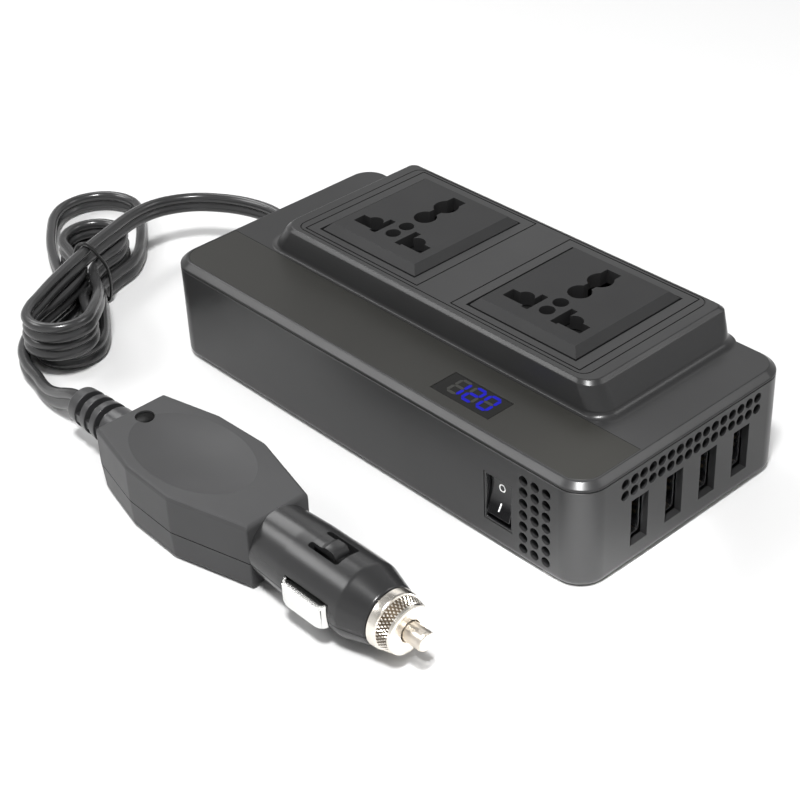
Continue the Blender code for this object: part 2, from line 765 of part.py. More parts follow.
def cord():
    exit_y, exit_z = CORD_EXIT
    end_x = -CASE_LENGTH / 2
    relief = ((0.0, 0.0), (0.0, 5.0), (4.8, 5.0), (4.8, 6.2), (8.0, 6.0), (19.6, 4.3), (19.6, 0.0))
    turned("case_strain_relief", relief, (-1, 0, 0), (end_x + 4.5, exit_y, exit_z), "rubber", 20)

    radius = CORD_WIDTH / 2
    tube("cord_lead", smooth_curve(LEAD_ROUTE), radius, "black", 2)
    tube("cord_tail", smooth_curve(TAIL_ROUTE), radius, "black", 2)

    hank = prism("cord_hank", hank_outline(0.0), 0.1, HANK_HEIGHT, "black")
    axis = Vector((*HANK_AXIS, 0.0))
    side = Vector((*HANK_SIDE, 0.0))
    turn = Matrix((axis, side, Vector((0, 0, 1)))).transposed().to_4x4()
    waist_centre = Vector((*hank_point(TIE_PLACE, 0.0), 0.0)) * MM

    def across_hank(name, half_x, half_y, low, high, material=None):
        """A box in the hank's own directions, at its waist."""
        size = Matrix.Diagonal((2 * half_x * MM, 2 * half_y * MM, (high - low) * MM, 1.0))
        lift = Matrix.Translation((0.0, 0.0, (low + high) / 2 * MM))
        bm = bmesh.new()
        bmesh.ops.create_cube(bm, size=1.0, matrix=Matrix.Translation(waist_centre) @ turn @ lift @ size)
        return object_from_bmesh(name, bm, material)

    notch = TIE_THICKNESS + GAP + 0.1
    boolean(hank, across_hank("tie_notch", TIE_WIDTH / 2 + GAP, 30.0, -5.0, notch))
    outer = HANK_WAIST + GAP + TIE_THICKNESS
    tie_top = HANK_HEIGHT + GAP
    tie = across_hank("cord_tie", TIE_WIDTH / 2, outer, 0.05, tie_top + TIE_THICKNESS, "black")
    inner = HANK_WAIST + GAP
    boolean(tie, across_hank("tie_hole", 10.0, inner, 0.05 + TIE_THICKNESS, tie_top))


# Plug


def plug_point(x, across, up):
    return x, PLUG_Y + across, PLUG_AXIS_Z + up


def plug_body_outline(inset):
    """Eight-sided plan of the plug's body."""
    points = list(PLUG_BODY_SIDE)
    first, last = points[0], points[-1]
    points[0] = (first[0] + inset, first[1])
    points[-1] = (last[0] - inset, last[1])
    right = [(x, PLUG_Y - half + inset) for x, half in points]
    left = [(x, PLUG_Y + half - inset) for x, half in reversed(points)]
    return right + left


def plug_cutters():
    """Everything that is taken out of both plug shells."""
    bore = cylinder("plug_bore", plug_point(10, 0, 0), plug_point(90, 0, 0), BORE_RADIUS, None, 20)
    neck = cylinder("plug_neck_seat", plug_point(NECK_START - GAP, 0, 0), plug_point(90, 0, 0), 6.2, None, 20)
    cavity = prism(
        "plug_cavity", plug_body_outline(PLUG_WALL), PLUG_BOTTOM + PLUG_WALL, PLUG_TOP - 3.0
    )
    pockets = []
    for side in (-1, 1):
        ys = sorted((PLUG_Y + side * (CONTACT_INNER - 1.8), PLUG_Y + side * 15.0))
        pockets.append(
            ((CONTACT_X[0] - GAP, ys[0], CONTACT_Z[0] - GAP), (CONTACT_X[1] + GAP, ys[1], CONTACT_Z[1] + GAP))
        )
    return [bore, neck, cavity, boxes("plug_contact_pockets", pockets)]


def plug_half(name, low, high, cutters):
    """One shell of the plug, between two heights."""
    shell = prism(name, plug_body_outline(0.0), PLUG_BOTTOM, PLUG_TOP, "graphite")
    barrel = turned(
        name + "_barrel",
        ((18.0, 0.0), (18.0, BARREL_RADIUS), (BARREL_END, BARREL_RADIUS), (SHOULDER_END, SHOULDER_RADIUS),
         (SHOULDER_END, 0.0)),
        (1, 0, 0),
        (0.0, PLUG_Y, PLUG_AXIS_Z),
        None,
        32,
    )
    boolean(shell, barrel, "UNION")
    for cutter in cutters:
        boolean(shell, cutter)
    keep = box(name + "_half", (-60, PLUG_Y - 30, low), (90, PLUG_Y + 30, high))
    return boolean(shell, keep, "INTERSECT")


def plug_shells():
    cutters = plug_cutters()
    upper = plug_half("plug_upper_shell", PLUG_SPLIT_Z + GAP / 2, 40.0, cutters)
    plug_half("plug_lower_shell", -20.0, PLUG_SPLIT_Z - GAP / 2, cutters)

    dish = bmesh.new()
    place = Matrix.Translation(Vector((-13.5, PLUG_Y, PLUG_TOP + 8.0)) * MM)
    size = Matrix.Diagonal((43.0 * MM, 25.8 * MM, 9.4 * MM, 1.0))
    bmesh.ops.create_uvsphere(dish, u_segments=24, v_segments=24, radius=1.0, matrix=place @ size)
    boolean(upper, object_from_bmesh("finger_dish", dish))
    hole_x, hole_y = -36.6, PLUG_Y + 1.2
    boolean(upper, cylinder("indicator_hole", (hole_x, hole_y, 10), (hole_x, hole_y, 30), 2.5, None, 16))
    cylinder("plug_indicator_lens", (hole_x, hole_y, 15.0), (hole_x, hole_y, PLUG_TOP - 0.5), 2.2, "lens", 16)
    slot = box(
        "latch_slot",
        (LATCH_X[0], PLUG_Y - LATCH_HALF_WIDTH, PLUG_AXIS_Z + 6.4),
        (LATCH_X[1], PLUG_Y + LATCH_HALF_WIDTH, 40.0),
    )
    boolean(upper, slot)


def plug_moving_pieces():
    latch_low = PLUG_AXIS_Z + 9.2
    start = LATCH_X[0] + GAP
    tab = prism(
        "plug_latch_tab",
        [
            (start, latch_low),
            (47.6, latch_low),
            (47.6, latch_low + 1.3),
            (46.6, latch_low + 2.3),
            (43.2, latch_low + 2.3),
            (42.8, latch_low + 1.5),
            (start, latch_low + 1.5),
        ],
        PLUG_Y - 2.3,
        PLUG_Y + 2.3,
        "graphite",
        "Y",
    )
    move_origin(tab, (start, PLUG_Y, latch_low + 0.7))

    for side, sign in (("front", -1), ("back", 1)):
        x0, x1 = CONTACT_X
        outline = [
            (x0, PLUG_Y + sign * CONTACT_INNER),
            (x1, PLUG_Y + sign * CONTACT_INNER),
            (x1, PLUG_Y + sign * 11.2),
            (x1 - 1.6, PLUG_Y + sign * 12.5),
            (x0 + 3.0, PLUG_Y + sign * 12.5),
            (x0, PLUG_Y + sign * 10.9),
        ]
        contact = prism(f"plug_{side}_contact", outline, *CONTACT_Z, "steel")
        move_origin(contact, (sum(CONTACT_X) / 2, PLUG_Y + sign * CONTACT_INNER, sum(CONTACT_Z) / 2))

    centre = (0.0, PLUG_Y, PLUG_AXIS_Z)
    cap = (
        (NECK_START, 4.9), (NECK_START, 5.9), (SHOULDER_END + GAP, 5.9), (SHOULDER_END + GAP, 8.1),
        (66.9, 7.9), (67.2, 7.4), (71.0, 6.6), (CAP_END, 6.0), (CAP_END, 3.1), (70.0, 3.1), (70.0, 4.9),
    )
    turned("plug_nose_cap", cap + (cap[0],), (1, 0, 0), centre, "nickel", 28)

    tip = ((67.2, 0.0), (67.2, 4.5), (69.7, 4.5), (69.7, 2.8), (76.9, 2.8), (TIP_END, 2.2), (TIP_END, 0.0))
    turned("plug_tip", tip, (1, 0, 0), centre, "nickel", 20)


def plug_inner_pieces():
    fuse = ((31.0, 0.0), (31.0, 3.1), (51.4, 3.1), (51.4, 0.0))
    turned("plug_fuse", fuse, (1, 0, 0), (0.0, PLUG_Y, PLUG_AXIS_Z), "glass", 16)
    start, end, turns, per_turn = 52.4, 66.3, 5, 10
    coil = []
    for i in range(turns * per_turn + 1):
        share = i / (turns * per_turn)
        angle = 2 * math.pi * turns * share
        coil.append(plug_point(start + (end - start) * share, 3.4 * math.cos(angle), 3.4 * math.sin(angle)))
    tube("plug_tip_spring", coil, 0.45, "steel", 1)

    profile = [(0.0, 0.0), (0.0, 6.2)]
    for rib in range(4):
        at, radius = 3.4 + rib * 5.3, 6.0 - rib * 0.35
        profile += [(at, radius), (at + 0.2, radius - 1.5)]
        profile += [(at + 2.0, radius - 1.55), (at + 2.2, radius - 0.05)]
    profile += [(25.0, 4.7), (25.0, 0.0)]
    turned("plug_strain_relief", profile, (-1, 0, 0), (-42.3, PLUG_Y, PLUG_AXIS_Z), "rubber", 20)


clear_scene()
PARTS = make_collection("power_inverter")
CUTTERS = make_collection("cutters")
lower_case()
top_cover()
overlay_and_display()
feet_and_screws()
sockets()
switch()
usb_ports()
fan()
electronics()
cord()
plug_shells()
plug_moving_pieces()
plug_inner_pieces()
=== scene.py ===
"""Looks for a vehicle power inverter: case, sockets, ports, switch, display, tied flat cord and plug."""

import math

import bmesh
import bpy
from mathutils import Matrix, Vector


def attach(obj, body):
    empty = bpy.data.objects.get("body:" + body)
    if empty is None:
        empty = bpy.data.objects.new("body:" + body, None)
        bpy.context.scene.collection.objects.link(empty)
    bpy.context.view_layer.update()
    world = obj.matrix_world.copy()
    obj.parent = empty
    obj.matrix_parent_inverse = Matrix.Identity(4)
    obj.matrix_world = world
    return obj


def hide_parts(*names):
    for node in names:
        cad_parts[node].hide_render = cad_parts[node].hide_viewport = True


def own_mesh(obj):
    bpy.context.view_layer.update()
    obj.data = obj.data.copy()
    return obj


MM = 0.001

# Camera: place in metres, azimuth, elevation and roll in degrees, lens in millimetres
CAMERA_PLACE = (0.3175, -0.3041, 0.3055)
CAMERA_ANGLES = (48.68, 34.68, -2.71)
CAMERA_LENS = 81.27

# Studio, in metres
SKY_STRENGTH = 0.78
FLOOR_SIZE = 6.0
FLOOR_DROP = 0.0003

# Case, in millimetres from here on, as in the CAD frame
CASE_LENGTH = 169.0
CASE_WIDTH = 82.0
END_X, FRONT_Y = CASE_LENGTH / 2, -CASE_WIDTH / 2
CASE_CORNER = 8.5
CASE_BOTTOM = 0.8
PARTING_Z = 31.0
DECK_Z = 33.3
WALL = 2.2
FLOOR_TOP = 3.0
SEAM = 0.15
RIM_TOP = 41.9
RISE_BACK = 40.8
RISE_BACK_CORNER = 2.2
RISE_FOOT_CORNER = 7.0
FOOT_X, FOOT_Y = 72.0, 24.0
SCREW_X, SCREW_Y = 66.0, 33.0

# Sockets
SOCKET_X = (-31.0, 31.0)
SOCKET_Y = 13.8
SOCKET_HALF = (19.85, 21.25)
SOCKET_TOP = 43.95
SOCKET_SLOPE = 2.2
SOCKET_FACE_BOTTOM = 39.6
PIN_Y = -11.6
EARTH_Y = 10.6
SHUTTER_Y, SHUTTER_Z = 3.35, 37.9

# Deck
DISPLAY_CENTRE = (34.1, -29.6)
DISPLAY_SIZE = (21.9, 9.9)

# Ports, switch and vents
USB_Y = tuple(1.2 + (i - 1.5) * 13.7 for i in range(4))
USB_Z = 13.8
USB_OPENING = (6.6, 14.8)
SWITCH_X, SWITCH_Z = 54.9, 15.1
SWITCH_OPENING = (10.4, 15.6)
ROCKER_PIVOT_Y = -37.0
ROCKER_TILT = math.radians(-9.0)
FAN_Y, FAN_Z = -16.0, 16.2
GLAND_Y, GLAND_Z = 15.0, 17.0
VENT_RADIUS = 1.5
VENT_PITCH = 3.53
SIDE_VENT_PITCH = 3.68
MARK_LIFTS = (0.03, 0.07)

# Cord and plug
CORD_WIDTH = 6.8
CORD_THICK = 3.4
HANK_CENTRE = Vector((-133.0, -42.0))
HANK_AXIS = Vector((0.76, -0.65)).normalized()
HANK_SIDE = Vector((-HANK_AXIS.y, HANK_AXIS.x))
PLUG_Y = -88.0
PLUG_AXIS_Z = 10.9
PLUG_SPLIT_Z = 9.0
PLUG_TOP = 20.9
PLUG_BOTTOM = 0.15
PLUG_SIDE = ((-42.0, 11.7), (-22.0, 16.2), (-3.0, 16.8), (22.3, 10.3))
BARREL_RADIUS = 10.8
BARREL_END = 64.0
LAMP_X, LAMP_Y = -36.6, PLUG_Y + 1.2
LATCH_HALF = 2.3
BACK_CONTACT_REACH = 0.9
KNURL_START, KNURL_END = 67.1, 70.4
SPRING_START, SPRING_END = 52.5, 66.3
SPRING_RADIUS, SPRING_WIRE = 3.4, 0.45
ON_AXIS = 1e-6


# Camera, lights and floor


def new_object(name, data):
    obj = bpy.data.objects.new(name, data)
    bpy.context.scene.collection.objects.link(obj)
    return obj


def make_camera():
    azimuth, elevation, roll = (math.radians(angle) for angle in CAMERA_ANGLES)
    level = Vector((math.cos(azimuth), math.sin(azimuth), 0.0))
    away = Vector((math.sin(azimuth), -math.cos(azimuth), 0.0))
    back = away * math.cos(elevation) + Vector((0.0, 0.0, math.sin(elevation)))
    upright = back.cross(level)
    right = math.cos(roll) * level + math.sin(roll) * upright
    up = math.cos(roll) * upright - math.sin(roll) * level
    data = bpy.data.cameras.new("camera")
    data.lens = CAMERA_LENS
    data.sensor_width = 36.0
    data.clip_start = 0.01
    data.clip_end = 20.0
    camera = new_object("camera", data)
    turn = Matrix((right, up, back)).transposed().to_4x4()
    camera.matrix_world = Matrix.Translation(CAMERA_PLACE) @ turn
    bpy.context.scene.camera = camera


def aim_light(data, place, target):
    light = new_object(data.name, data)
    light.location = place
    light.rotation_mode = "QUATERNION"
    light.rotation_quaternion = (Vector(target) - Vector(place)).to_track_quat("-Z", "Y")


def area_light(name, place, target, size, power):
    data = bpy.data.lights.new(name, "AREA")
    data.shape = "RECTANGLE"
    data.size, data.size_y = size
    data.energy = power
    aim_light(data, place, target)


def narrow_spot(name, place, target, angle, power):
    """Picks out one corner, or a patch of floor that a glossy wall beside it then reflects."""
    data = bpy.data.lights.new(name, "SPOT")
    data.energy = power
    data.spot_size = math.radians(angle)
    data.spot_blend = 1.0
    data.shadow_soft_size = 0.01
    aim_light(data, place, target)


def make_lights():
    area_light("key_softbox", (0.3, -0.36, 1.0), (0.03, -0.03, 0.0), (0.16, 0.16), 14.0)
    area_light("side_softbox", (-0.8, 0.12, 0.8), (-0.05, -0.05, 0.0), (0.5, 0.25), 2.8)
    area_light("front_softbox", (-0.62, -0.55, 0.72), (0.0, -0.05, 0.02), (0.5, 0.3), 3.8)
    area_light("deck_softbox", (-0.43, 0.6, 0.64), (0.06, -0.03, 0.03), (0.45, 0.4), 0.5)
    area_light("back_softbox", (0.5, 0.5, 0.65), (0.05, 0.0, 0.0), (0.35, 0.35), 1.5)
    narrow_spot("corner_highlight", (0.24, -0.29, 0.75), (0.082, -0.038, 0.03), 5.0, 32.0)
    narrow_spot("corner_bounce", (0.3, -0.36, 0.5), (0.108, -0.068, 0.0), 8.0, 60.0)


def make_sky():
    """An even sky that is bright near the horizon and darker overhead."""
    world = bpy.data.worlds.new("studio")
    world.use_nodes = True
    nodes, links = world.node_tree.nodes, world.node_tree.links
    background = nodes["Background"]
    place = nodes.new("ShaderNodeTexCoord")
    height = nodes.new("ShaderNodeSeparateXYZ")
    ramp = nodes.new("ShaderNodeValToRGB")
    links.new(place.outputs["Generated"], height.inputs["Vector"])
    links.new(height.outputs["Z"], ramp.inputs["Fac"])
    links.new(ramp.outputs["Color"], background.inputs["Color"])
    low, high = ramp.color_ramp.elements
    low.position, low.color = 0.25, (1.0, 1.0, 1.0, 1.0)
    high.position, high.color = 0.65, (0.26, 0.26, 0.26, 1.0)
    background.inputs["Strength"].default_value = SKY_STRENGTH
    bpy.context.scene.world = world
    bpy.context.scene.view_settings.view_transform = "Standard"


def make_floor():
    mesh = bpy.data.meshes.new("studio_floor")
    bm = bmesh.new()
    bmesh.ops.create_grid(bm, x_segments=1, y_segments=1, size=FLOOR_SIZE)
    bm.to_mesh(mesh)
    bm.free()
    mesh.materials.append(plain_floor())
    floor = new_object("studio_floor", mesh)
    floor.location.z = -FLOOR_DROP


# Materials


class Nodes:
    """A material's node tree with short ways to add to it."""

    def __init__(self, name):
        self.material = bpy.data.materials.new(name)
        self.material.use_nodes = True
        self.tree = self.material.node_tree
        self.shader = self.tree.nodes["Principled BSDF"]

    def add(self, kind, **values):
        node = self.tree.nodes.new(kind)
        for name, value in values.items():
            node.inputs[name].default_value = value
        return node

    def link(self, source, target):
        self.tree.links.new(source, target)

    def set(self, socket, value):
        self.shader.inputs[socket].default_value = value

    def feed(self, socket, source):
        self.link(source, self.shader.inputs[socket])

    def coordinates(self):
        return self.add("ShaderNodeTexCoord").outputs["Object"]

    def noise(self, scale, detail=3.0, coordinates=None):
        node = self.add("ShaderNodeTexNoise", Scale=scale, Detail=detail)
        self.link(coordinates or self.coordinates(), node.inputs["Vector"])
        return node.outputs["Fac"]

    def ramp(self, source, low, high):
        """A colour that goes from one (place, colour) stop to another."""
        node = self.add("ShaderNodeValToRGB")
        self.link(source, node.inputs["Fac"])
        for element, (place, colour) in zip(node.color_ramp.elements, (low, high)):
            element.position = place
            element.color = (*colour, 1.0)
        return node.outputs["Color"]

    def spread(self, source, low, high):
        node = self.add("ShaderNodeMapRange", **{"To Min": low, "To Max": high})
        self.link(source, node.inputs["Value"])
        return node.outputs["Result"]

    def bump(self, height, strength, distance):
        node = self.add("ShaderNodeBump", Strength=strength, Distance=distance)
        self.link(height, node.inputs["Height"])
        self.feed("Normal", node.outputs["Normal"])


def shade(colour, factor):
    return tuple(channel * factor for channel in colour)


def plain_floor():
    nodes = Nodes("pale_floor")
    nodes.feed("Base Color", nodes.ramp(nodes.noise(3.0), (0.3, (0.64,) * 3), (0.7, (0.66,) * 3)))
    nodes.set("Roughness", 0.7)
    return nodes.material


def plastic(name, colour, rough=0.42, grain=5200.0, relief=0.12, specular=0.5, coat=0.0):
    """Moulded plastic: an even tone with faint clouding, a fine spark texture and slightly uneven gloss."""
    nodes = Nodes(name)
    clouds = nodes.noise(34.0, 4.0)
    nodes.feed("Base Color", nodes.ramp(clouds, (0.3, shade(colour, 0.93)), (0.7, shade(colour, 1.07))))
    nodes.feed("Roughness", nodes.spread(nodes.noise(90.0), rough - 0.04, rough + 0.05))
    nodes.bump(nodes.noise(grain, 2.0), relief, 0.00006)
    nodes.set("Specular IOR Level", specular)
    nodes.set("Coat Weight", coat)
    nodes.set("Coat Roughness", 0.12)
    return nodes.material


def metal(name, colour, rough=0.25, stretch=(1.0, 1.0, 1.0), relief=0.15):
    """Plated or drawn metal: bright, with fine lines along the way it was worked and faint staining."""
    nodes = Nodes(name)
    mapping = nodes.add("ShaderNodeMapping", Scale=stretch)
    nodes.link(nodes.coordinates(), mapping.inputs["Vector"])
    lines = nodes.noise(900.0, coordinates=mapping.outputs["Vector"])
    nodes.feed("Base Color", nodes.ramp(nodes.noise(120.0), (0.35, shade(colour, 0.9)), (0.7, colour)))
    nodes.feed("Roughness", nodes.spread(lines, rough - 0.06, rough + 0.08))
    nodes.bump(lines, relief, 0.00003)
    nodes.set("Metallic", 1.0)
    return nodes.material


def glow(name, colour, strength):
    """Lit display segment with slightly uneven light."""
    nodes = Nodes(name)
    nodes.feed("Emission Color", nodes.ramp(nodes.noise(700.0), (0.3, shade(colour, 0.9)), (0.7, colour)))
    nodes.set("Base Color", (0.0, 0.0, 0.02, 1.0))
    nodes.set("Emission Strength", strength)
    nodes.set("Roughness", 0.25)
    nodes.set("Specular IOR Level", 0.1)
    return nodes.material


def board_material(name):
    """Solder resist over copper tracks."""
    nodes = Nodes(name)
    tracks = nodes.add(
        "ShaderNodeTexBrick",
        Scale=180.0,
        Color1=(0.01, 0.14, 0.05, 1.0),
        Color2=(0.015, 0.19, 0.07, 1.0),
        Mortar=(0.03, 0.26, 0.1, 1.0),
    )
    nodes.link(nodes.coordinates(), tracks.inputs["Vector"])
    nodes.feed("Base Color", tracks.outputs["Color"])
    nodes.bump(tracks.outputs["Fac"], 0.2, 0.00005)
    nodes.set("Roughness", 0.35)
    return nodes.material


def make_materials():
    plastics = {
        "case_plastic": ((0.0185, 0.0185, 0.0189), 0.3, 4200.0, 0.03, 0.36),
        "overlay_film": ((0.0175, 0.0172, 0.0152), 0.38, 6000.0, 0.03, 0.27),
        "socket_plastic": ((0.018, 0.018, 0.0184), 0.45, 4600.0, 0.06, 0.2),
        # Shutter: black plastic made darker than the case's black, as painted shade inside the socket
        # apertures.
        "shutter_plastic": ((0.007,) * 3, 0.45, 4600.0, 0.05, 0.3),
        # Inner parts: black plastic made darker than the case's black, as painted shade for insides seen
        # through the openings.
        "inner_plastic": ((0.006,) * 3, 0.55, 4600.0, 0.05, 0.25),
        "switch_gloss": ((0.006, 0.006, 0.0065), 0.2, 2600.0, 0.02, 0.4, 0.15),
        "barrel_plastic": ((0.022, 0.022, 0.0225), 0.25, 3000.0, 0.015, 0.4),
        "plug_plastic": ((0.047, 0.047, 0.048), 0.42, 4200.0, 0.06, 0.19),
        "relief_rubber": ((0.026, 0.026, 0.027), 0.3, 2500.0, 0.05),
        "cord_jacket": ((0.028, 0.028, 0.0285), 0.24, 1800.0, 0.04),
        "tie_plastic": ((0.004,) * 3, 0.35, 1800.0, 0.05, 0.3),
        "foot_rubber": ((0.02,) * 3, 0.75, 3000.0, 0.3, 0.3),
        "display_glass": ((0.005, 0.005, 0.0045), 0.2, 900.0, 0.01, 0.1),
        "unlit_segment": ((0.022, 0.022, 0.02), 0.3, 2600.0, 0.02, 0.2),
        "white_print": ((0.95,) * 3, 0.5),
        "indicator_lens": ((0.002,) * 3, 0.3, 900.0, 0.01, 0.1),
        "winding_tape": ((0.45, 0.22, 0.03), 0.4),
        "capacitor_sleeve": ((0.02, 0.03, 0.12), 0.3),
        "fuse_glass": ((0.5, 0.55, 0.55), 0.1),
    }
    metals = {
        "port_steel": ((0.66, 0.66, 0.67), 0.22, (1.0, 1.0, 12.0)),
        "plug_steel": ((0.93, 0.93, 0.91), 0.2, (12.0, 1.0, 1.0), 0.08),
        "plug_nickel": ((0.93, 0.88, 0.8), 0.24, (1.0, 6.0, 6.0), 0.06),
        "tip_nickel": ((0.74, 0.68, 0.6), 0.34, (1.0, 1.0, 1.0), 0.02),
        # Dark brown nickel for the knurl's bed: painted shade between the knurl points.
        "nickel_recess_painted_shade": ((0.1, 0.075, 0.05), 0.5, (1.0, 6.0, 6.0), 0.1),
        "contact_brass": ((0.72, 0.52, 0.24), 0.28),
        "screw_steel": ((0.45, 0.45, 0.46), 0.35),
        "heat_sink_aluminium": ((0.6, 0.6, 0.62), 0.35, (1.0, 12.0, 1.0)),
    }
    made = {name: plastic(name, *values) for name, values in plastics.items()}
    made.update({name: metal(name, *values) for name, values in metals.items()})
    made["lit_segment"] = glow("lit_segment", (0.002, 0.002, 0.5), 1.0)
    made["board_laminate"] = board_material("board_laminate")
    return made


# Mesh tools


def mesh_from(name, bm):
    bmesh.ops.recalc_face_normals(bm, faces=bm.faces)
    mesh = bpy.data.meshes.new(name)
    bm.to_mesh(mesh)
    bm.free()
    return mesh


def raw(name, bm):
    """An object that isn't a piece yet: a cutter, or a shape that is still being worked on."""
    return new_object(name, mesh_from(name, bm))


def bake(obj):
    """Applies an object's modifiers to its mesh."""
    bpy.context.view_layer.update()
    evaluated = obj.evaluated_get(bpy.context.evaluated_depsgraph_get())
    mesh = bpy.data.meshes.new_from_object(evaluated)
    obj.modifiers.clear()
    obj.data = mesh
    return obj


def combine(obj, other, operation):
    modifier = obj.modifiers.new("combine", "BOOLEAN")
    modifier.operation = operation
    modifier.solver = "EXACT"
    modifier.object = other
    bake(obj)
    bpy.data.objects.remove(other)
    return obj


def cut(obj, other):
    return combine(obj, other, "DIFFERENCE")


def join(obj, other):
    return combine(obj, other, "UNION")


def keep(obj, other):
    return combine(obj, other, "INTERSECT")


def soften(obj, width, angle=35.0, segments=2):
    """Rounds an object's edges that are sharper than an angle."""
    modifier = obj.modifiers.new("soften", "BEVEL")
    modifier.width = width * MM
    modifier.segments = segments
    modifier.limit_method = "ANGLE"
    modifier.angle_limit = math.radians(angle)
    modifier.use_clamp_overlap = True
    modifier.miter_outer = "MITER_ARC"
    return bake(obj)


def piece(obj, material, *nodes, slot=None, body="case", angle=32.0):
    """Makes an object a finished piece, which stands for the CAD nodes that are named."""
    mesh = obj.data
    mesh.materials.clear()
    mesh.materials.append(MATERIALS[material])
    mesh.shade_smooth()
    mesh.set_sharp_from_angle(angle=math.radians(angle))
    normals = obj.modifiers.new("normals", "WEIGHTED_NORMAL")
    normals.keep_sharp = True
    normals.weight = 100
    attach(obj, body)
    if nodes:
        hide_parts(*nodes)


def add_box(bm, low, high):
    low, high = Vector(low) * MM, Vector(high) * MM
    place = Matrix.Translation((low + high) / 2) @ Matrix.Diagonal((*(high - low), 1.0))
    bmesh.ops.create_cube(bm, size=1.0, matrix=place)


def add_cylinder(bm, start, end, radius, segments=32):
    start, end = Vector(start) * MM, Vector(end) * MM
    along = end - start
    turn = along.to_track_quat("Z", "Y").to_matrix().to_4x4()
    bmesh.ops.create_cone(
        bm,
        cap_ends=True,
        segments=segments,
        radius1=radius * MM,
        radius2=radius * MM,
        depth=along.length,
        matrix=Matrix.Translation((start + end) / 2) @ turn,
    )


def box(name, low, high):
    bm = bmesh.new()
    add_box(bm, low, high)
    return raw(name, bm)


def cylinder(name, start, end, radius, segments):
    bm = bmesh.new()
    add_cylinder(bm, start, end, radius, segments)
    return raw(name, bm)


def bridge(bm, lower, upper):
    """Faces between two closed rows of vertices, where a row on an axis is one vertex over and over."""
    for i, first in enumerate(lower):
        j = (i + 1) % len(lower)
        bm.faces.new(tuple(dict.fromkeys((first, lower[j], upper[j], upper[i]))))


def add_loft(bm, rings):
    rows = [[bm.verts.new(Vector(point) * MM) for point in ring] for ring in rings]
    for lower, upper in zip(rows, rows[1:]):
        bridge(bm, lower, upper)
    bm.faces.new(reversed(rows[0]))
    bm.faces.new(rows[-1])


def loft(name, rings):
    """A closed solid through rings of points in millimetres."""
    bm = bmesh.new()
    add_loft(bm, rings)
    return raw(name, bm)


def full_turn(count):
    return [2 * math.pi * i / count for i in range(count)]


def arc(centre, radius, start, end, steps):
    points = []
    for i in range(steps + 1):
        angle = math.radians(start + (end - start) * i / steps)
        points.append((centre[0] + radius * math.cos(angle), centre[1] + radius * math.sin(angle)))
    return points


def rounded(x0, x1, y0, y1, radius, steps=12, back=None):
    """A rectangle with round corners, anticlockwise; the two at the back may have their own radius."""
    back = back or radius
    return (
        arc((x1 - radius, y0 + radius), radius, -90, 0, steps)
        + arc((x1 - back, y1 - back), back, 0, 90, steps)
        + arc((x0 + back, y1 - back), back, 90, 180, steps)
        + arc((x0 + radius, y0 + radius), radius, 180, 270, steps)
    )


def at_height(outline, z):
    return [(x, y, z) for x, y in outline]


def case_ring(inset, z):
    half_x, half_y = CASE_LENGTH / 2 - inset, CASE_WIDTH / 2 - inset
    return at_height(rounded(-half_x, half_x, -half_y, half_y, CASE_CORNER - inset), z)


def prism(name, outline, low, high, axis="Z"):
    """An outline extruded between two distances: (x, y) points along Z, or (y, z) points along X."""
    if axis == "X":
        return loft(name, [[(x, y, z) for y, z in outline] for x in (low, high)])
    return loft(name, [at_height(outline, z) for z in (low, high)])


def turned(name, profile, start, along, segments=48):
    """A solid of revolution from (distance, radius) points that begin and end on the axis, or close up."""
    along = Vector(along).normalized()
    side = along.orthogonal().normalized()
    other = along.cross(side)
    bm = bmesh.new()
    rows = []
    for distance, radius in profile:
        centre = Vector(start) + along * distance
        if radius < ON_AXIS:
            rows.append([bm.verts.new(centre * MM)] * segments)
            continue
        row = []
        for angle in full_turn(segments):
            outward = math.cos(angle) * side + math.sin(angle) * other
            row.append(bm.verts.new((centre + radius * outward) * MM))
        rows.append(row)
    if profile[0][1] > ON_AXIS:
        rows.append(rows[0])
    for lower, upper in zip(rows, rows[1:]):
        bridge(bm, lower, upper)
    return raw(name, bm)


def corner_curve(a, corner, b, shares):
    """Points on the curve that rounds a corner from one point to another."""
    return [a * (1 - t) ** 2 + corner * 2 * t * (1 - t) + b * t**2 for t in shares]


def rounded_profile(points, radius, steps=4):
    """A profile with every corner between its two ends rounded."""
    points = [Vector(p) for p in points]
    found = [tuple(points[0])]
    for before, corner, after in zip(points, points[1:], points[2:]):
        to_before, to_after = before - corner, after - corner
        reach = min(radius, to_before.length * 0.45, to_after.length * 0.45)
        a = corner + to_before.normalized() * reach
        b = corner + to_after.normalized() * reach
        found += [tuple(p) for p in corner_curve(a, corner, b, [i / steps for i in range(steps + 1)])]
    return found + [tuple(points[-1])]


def between(first, last, start, end, t):
    return first * ((end - t) / (end - start)) + last * ((t - start) / (end - start))


def smooth_curve(points, per_span):
    """Points on the Catmull-Rom curve through the given ones, with spacing taken into account."""
    knots = [Vector(p) for p in points]
    knots = [2 * knots[0] - knots[1], *knots, 2 * knots[-1] - knots[-2]]
    found = []
    for a, b, c, d in zip(knots, knots[1:], knots[2:], knots[3:]):
        t0 = 0.0
        t1 = t0 + math.sqrt((b - a).length)
        t2 = t1 + math.sqrt((c - b).length)
        t3 = t2 + math.sqrt((d - c).length)
        for i in range(per_span):
            t = t1 + (t2 - t1) * i / per_span
            ab, bc, cd = between(a, b, t0, t1, t), between(b, c, t1, t2, t), between(c, d, t2, t3, t)
            abc, bcd = between(ab, bc, t0, t2, t), between(bc, cd, t1, t3, t)
            found.append(between(abc, bcd, t1, t2, t))
    return found + [knots[-2]]


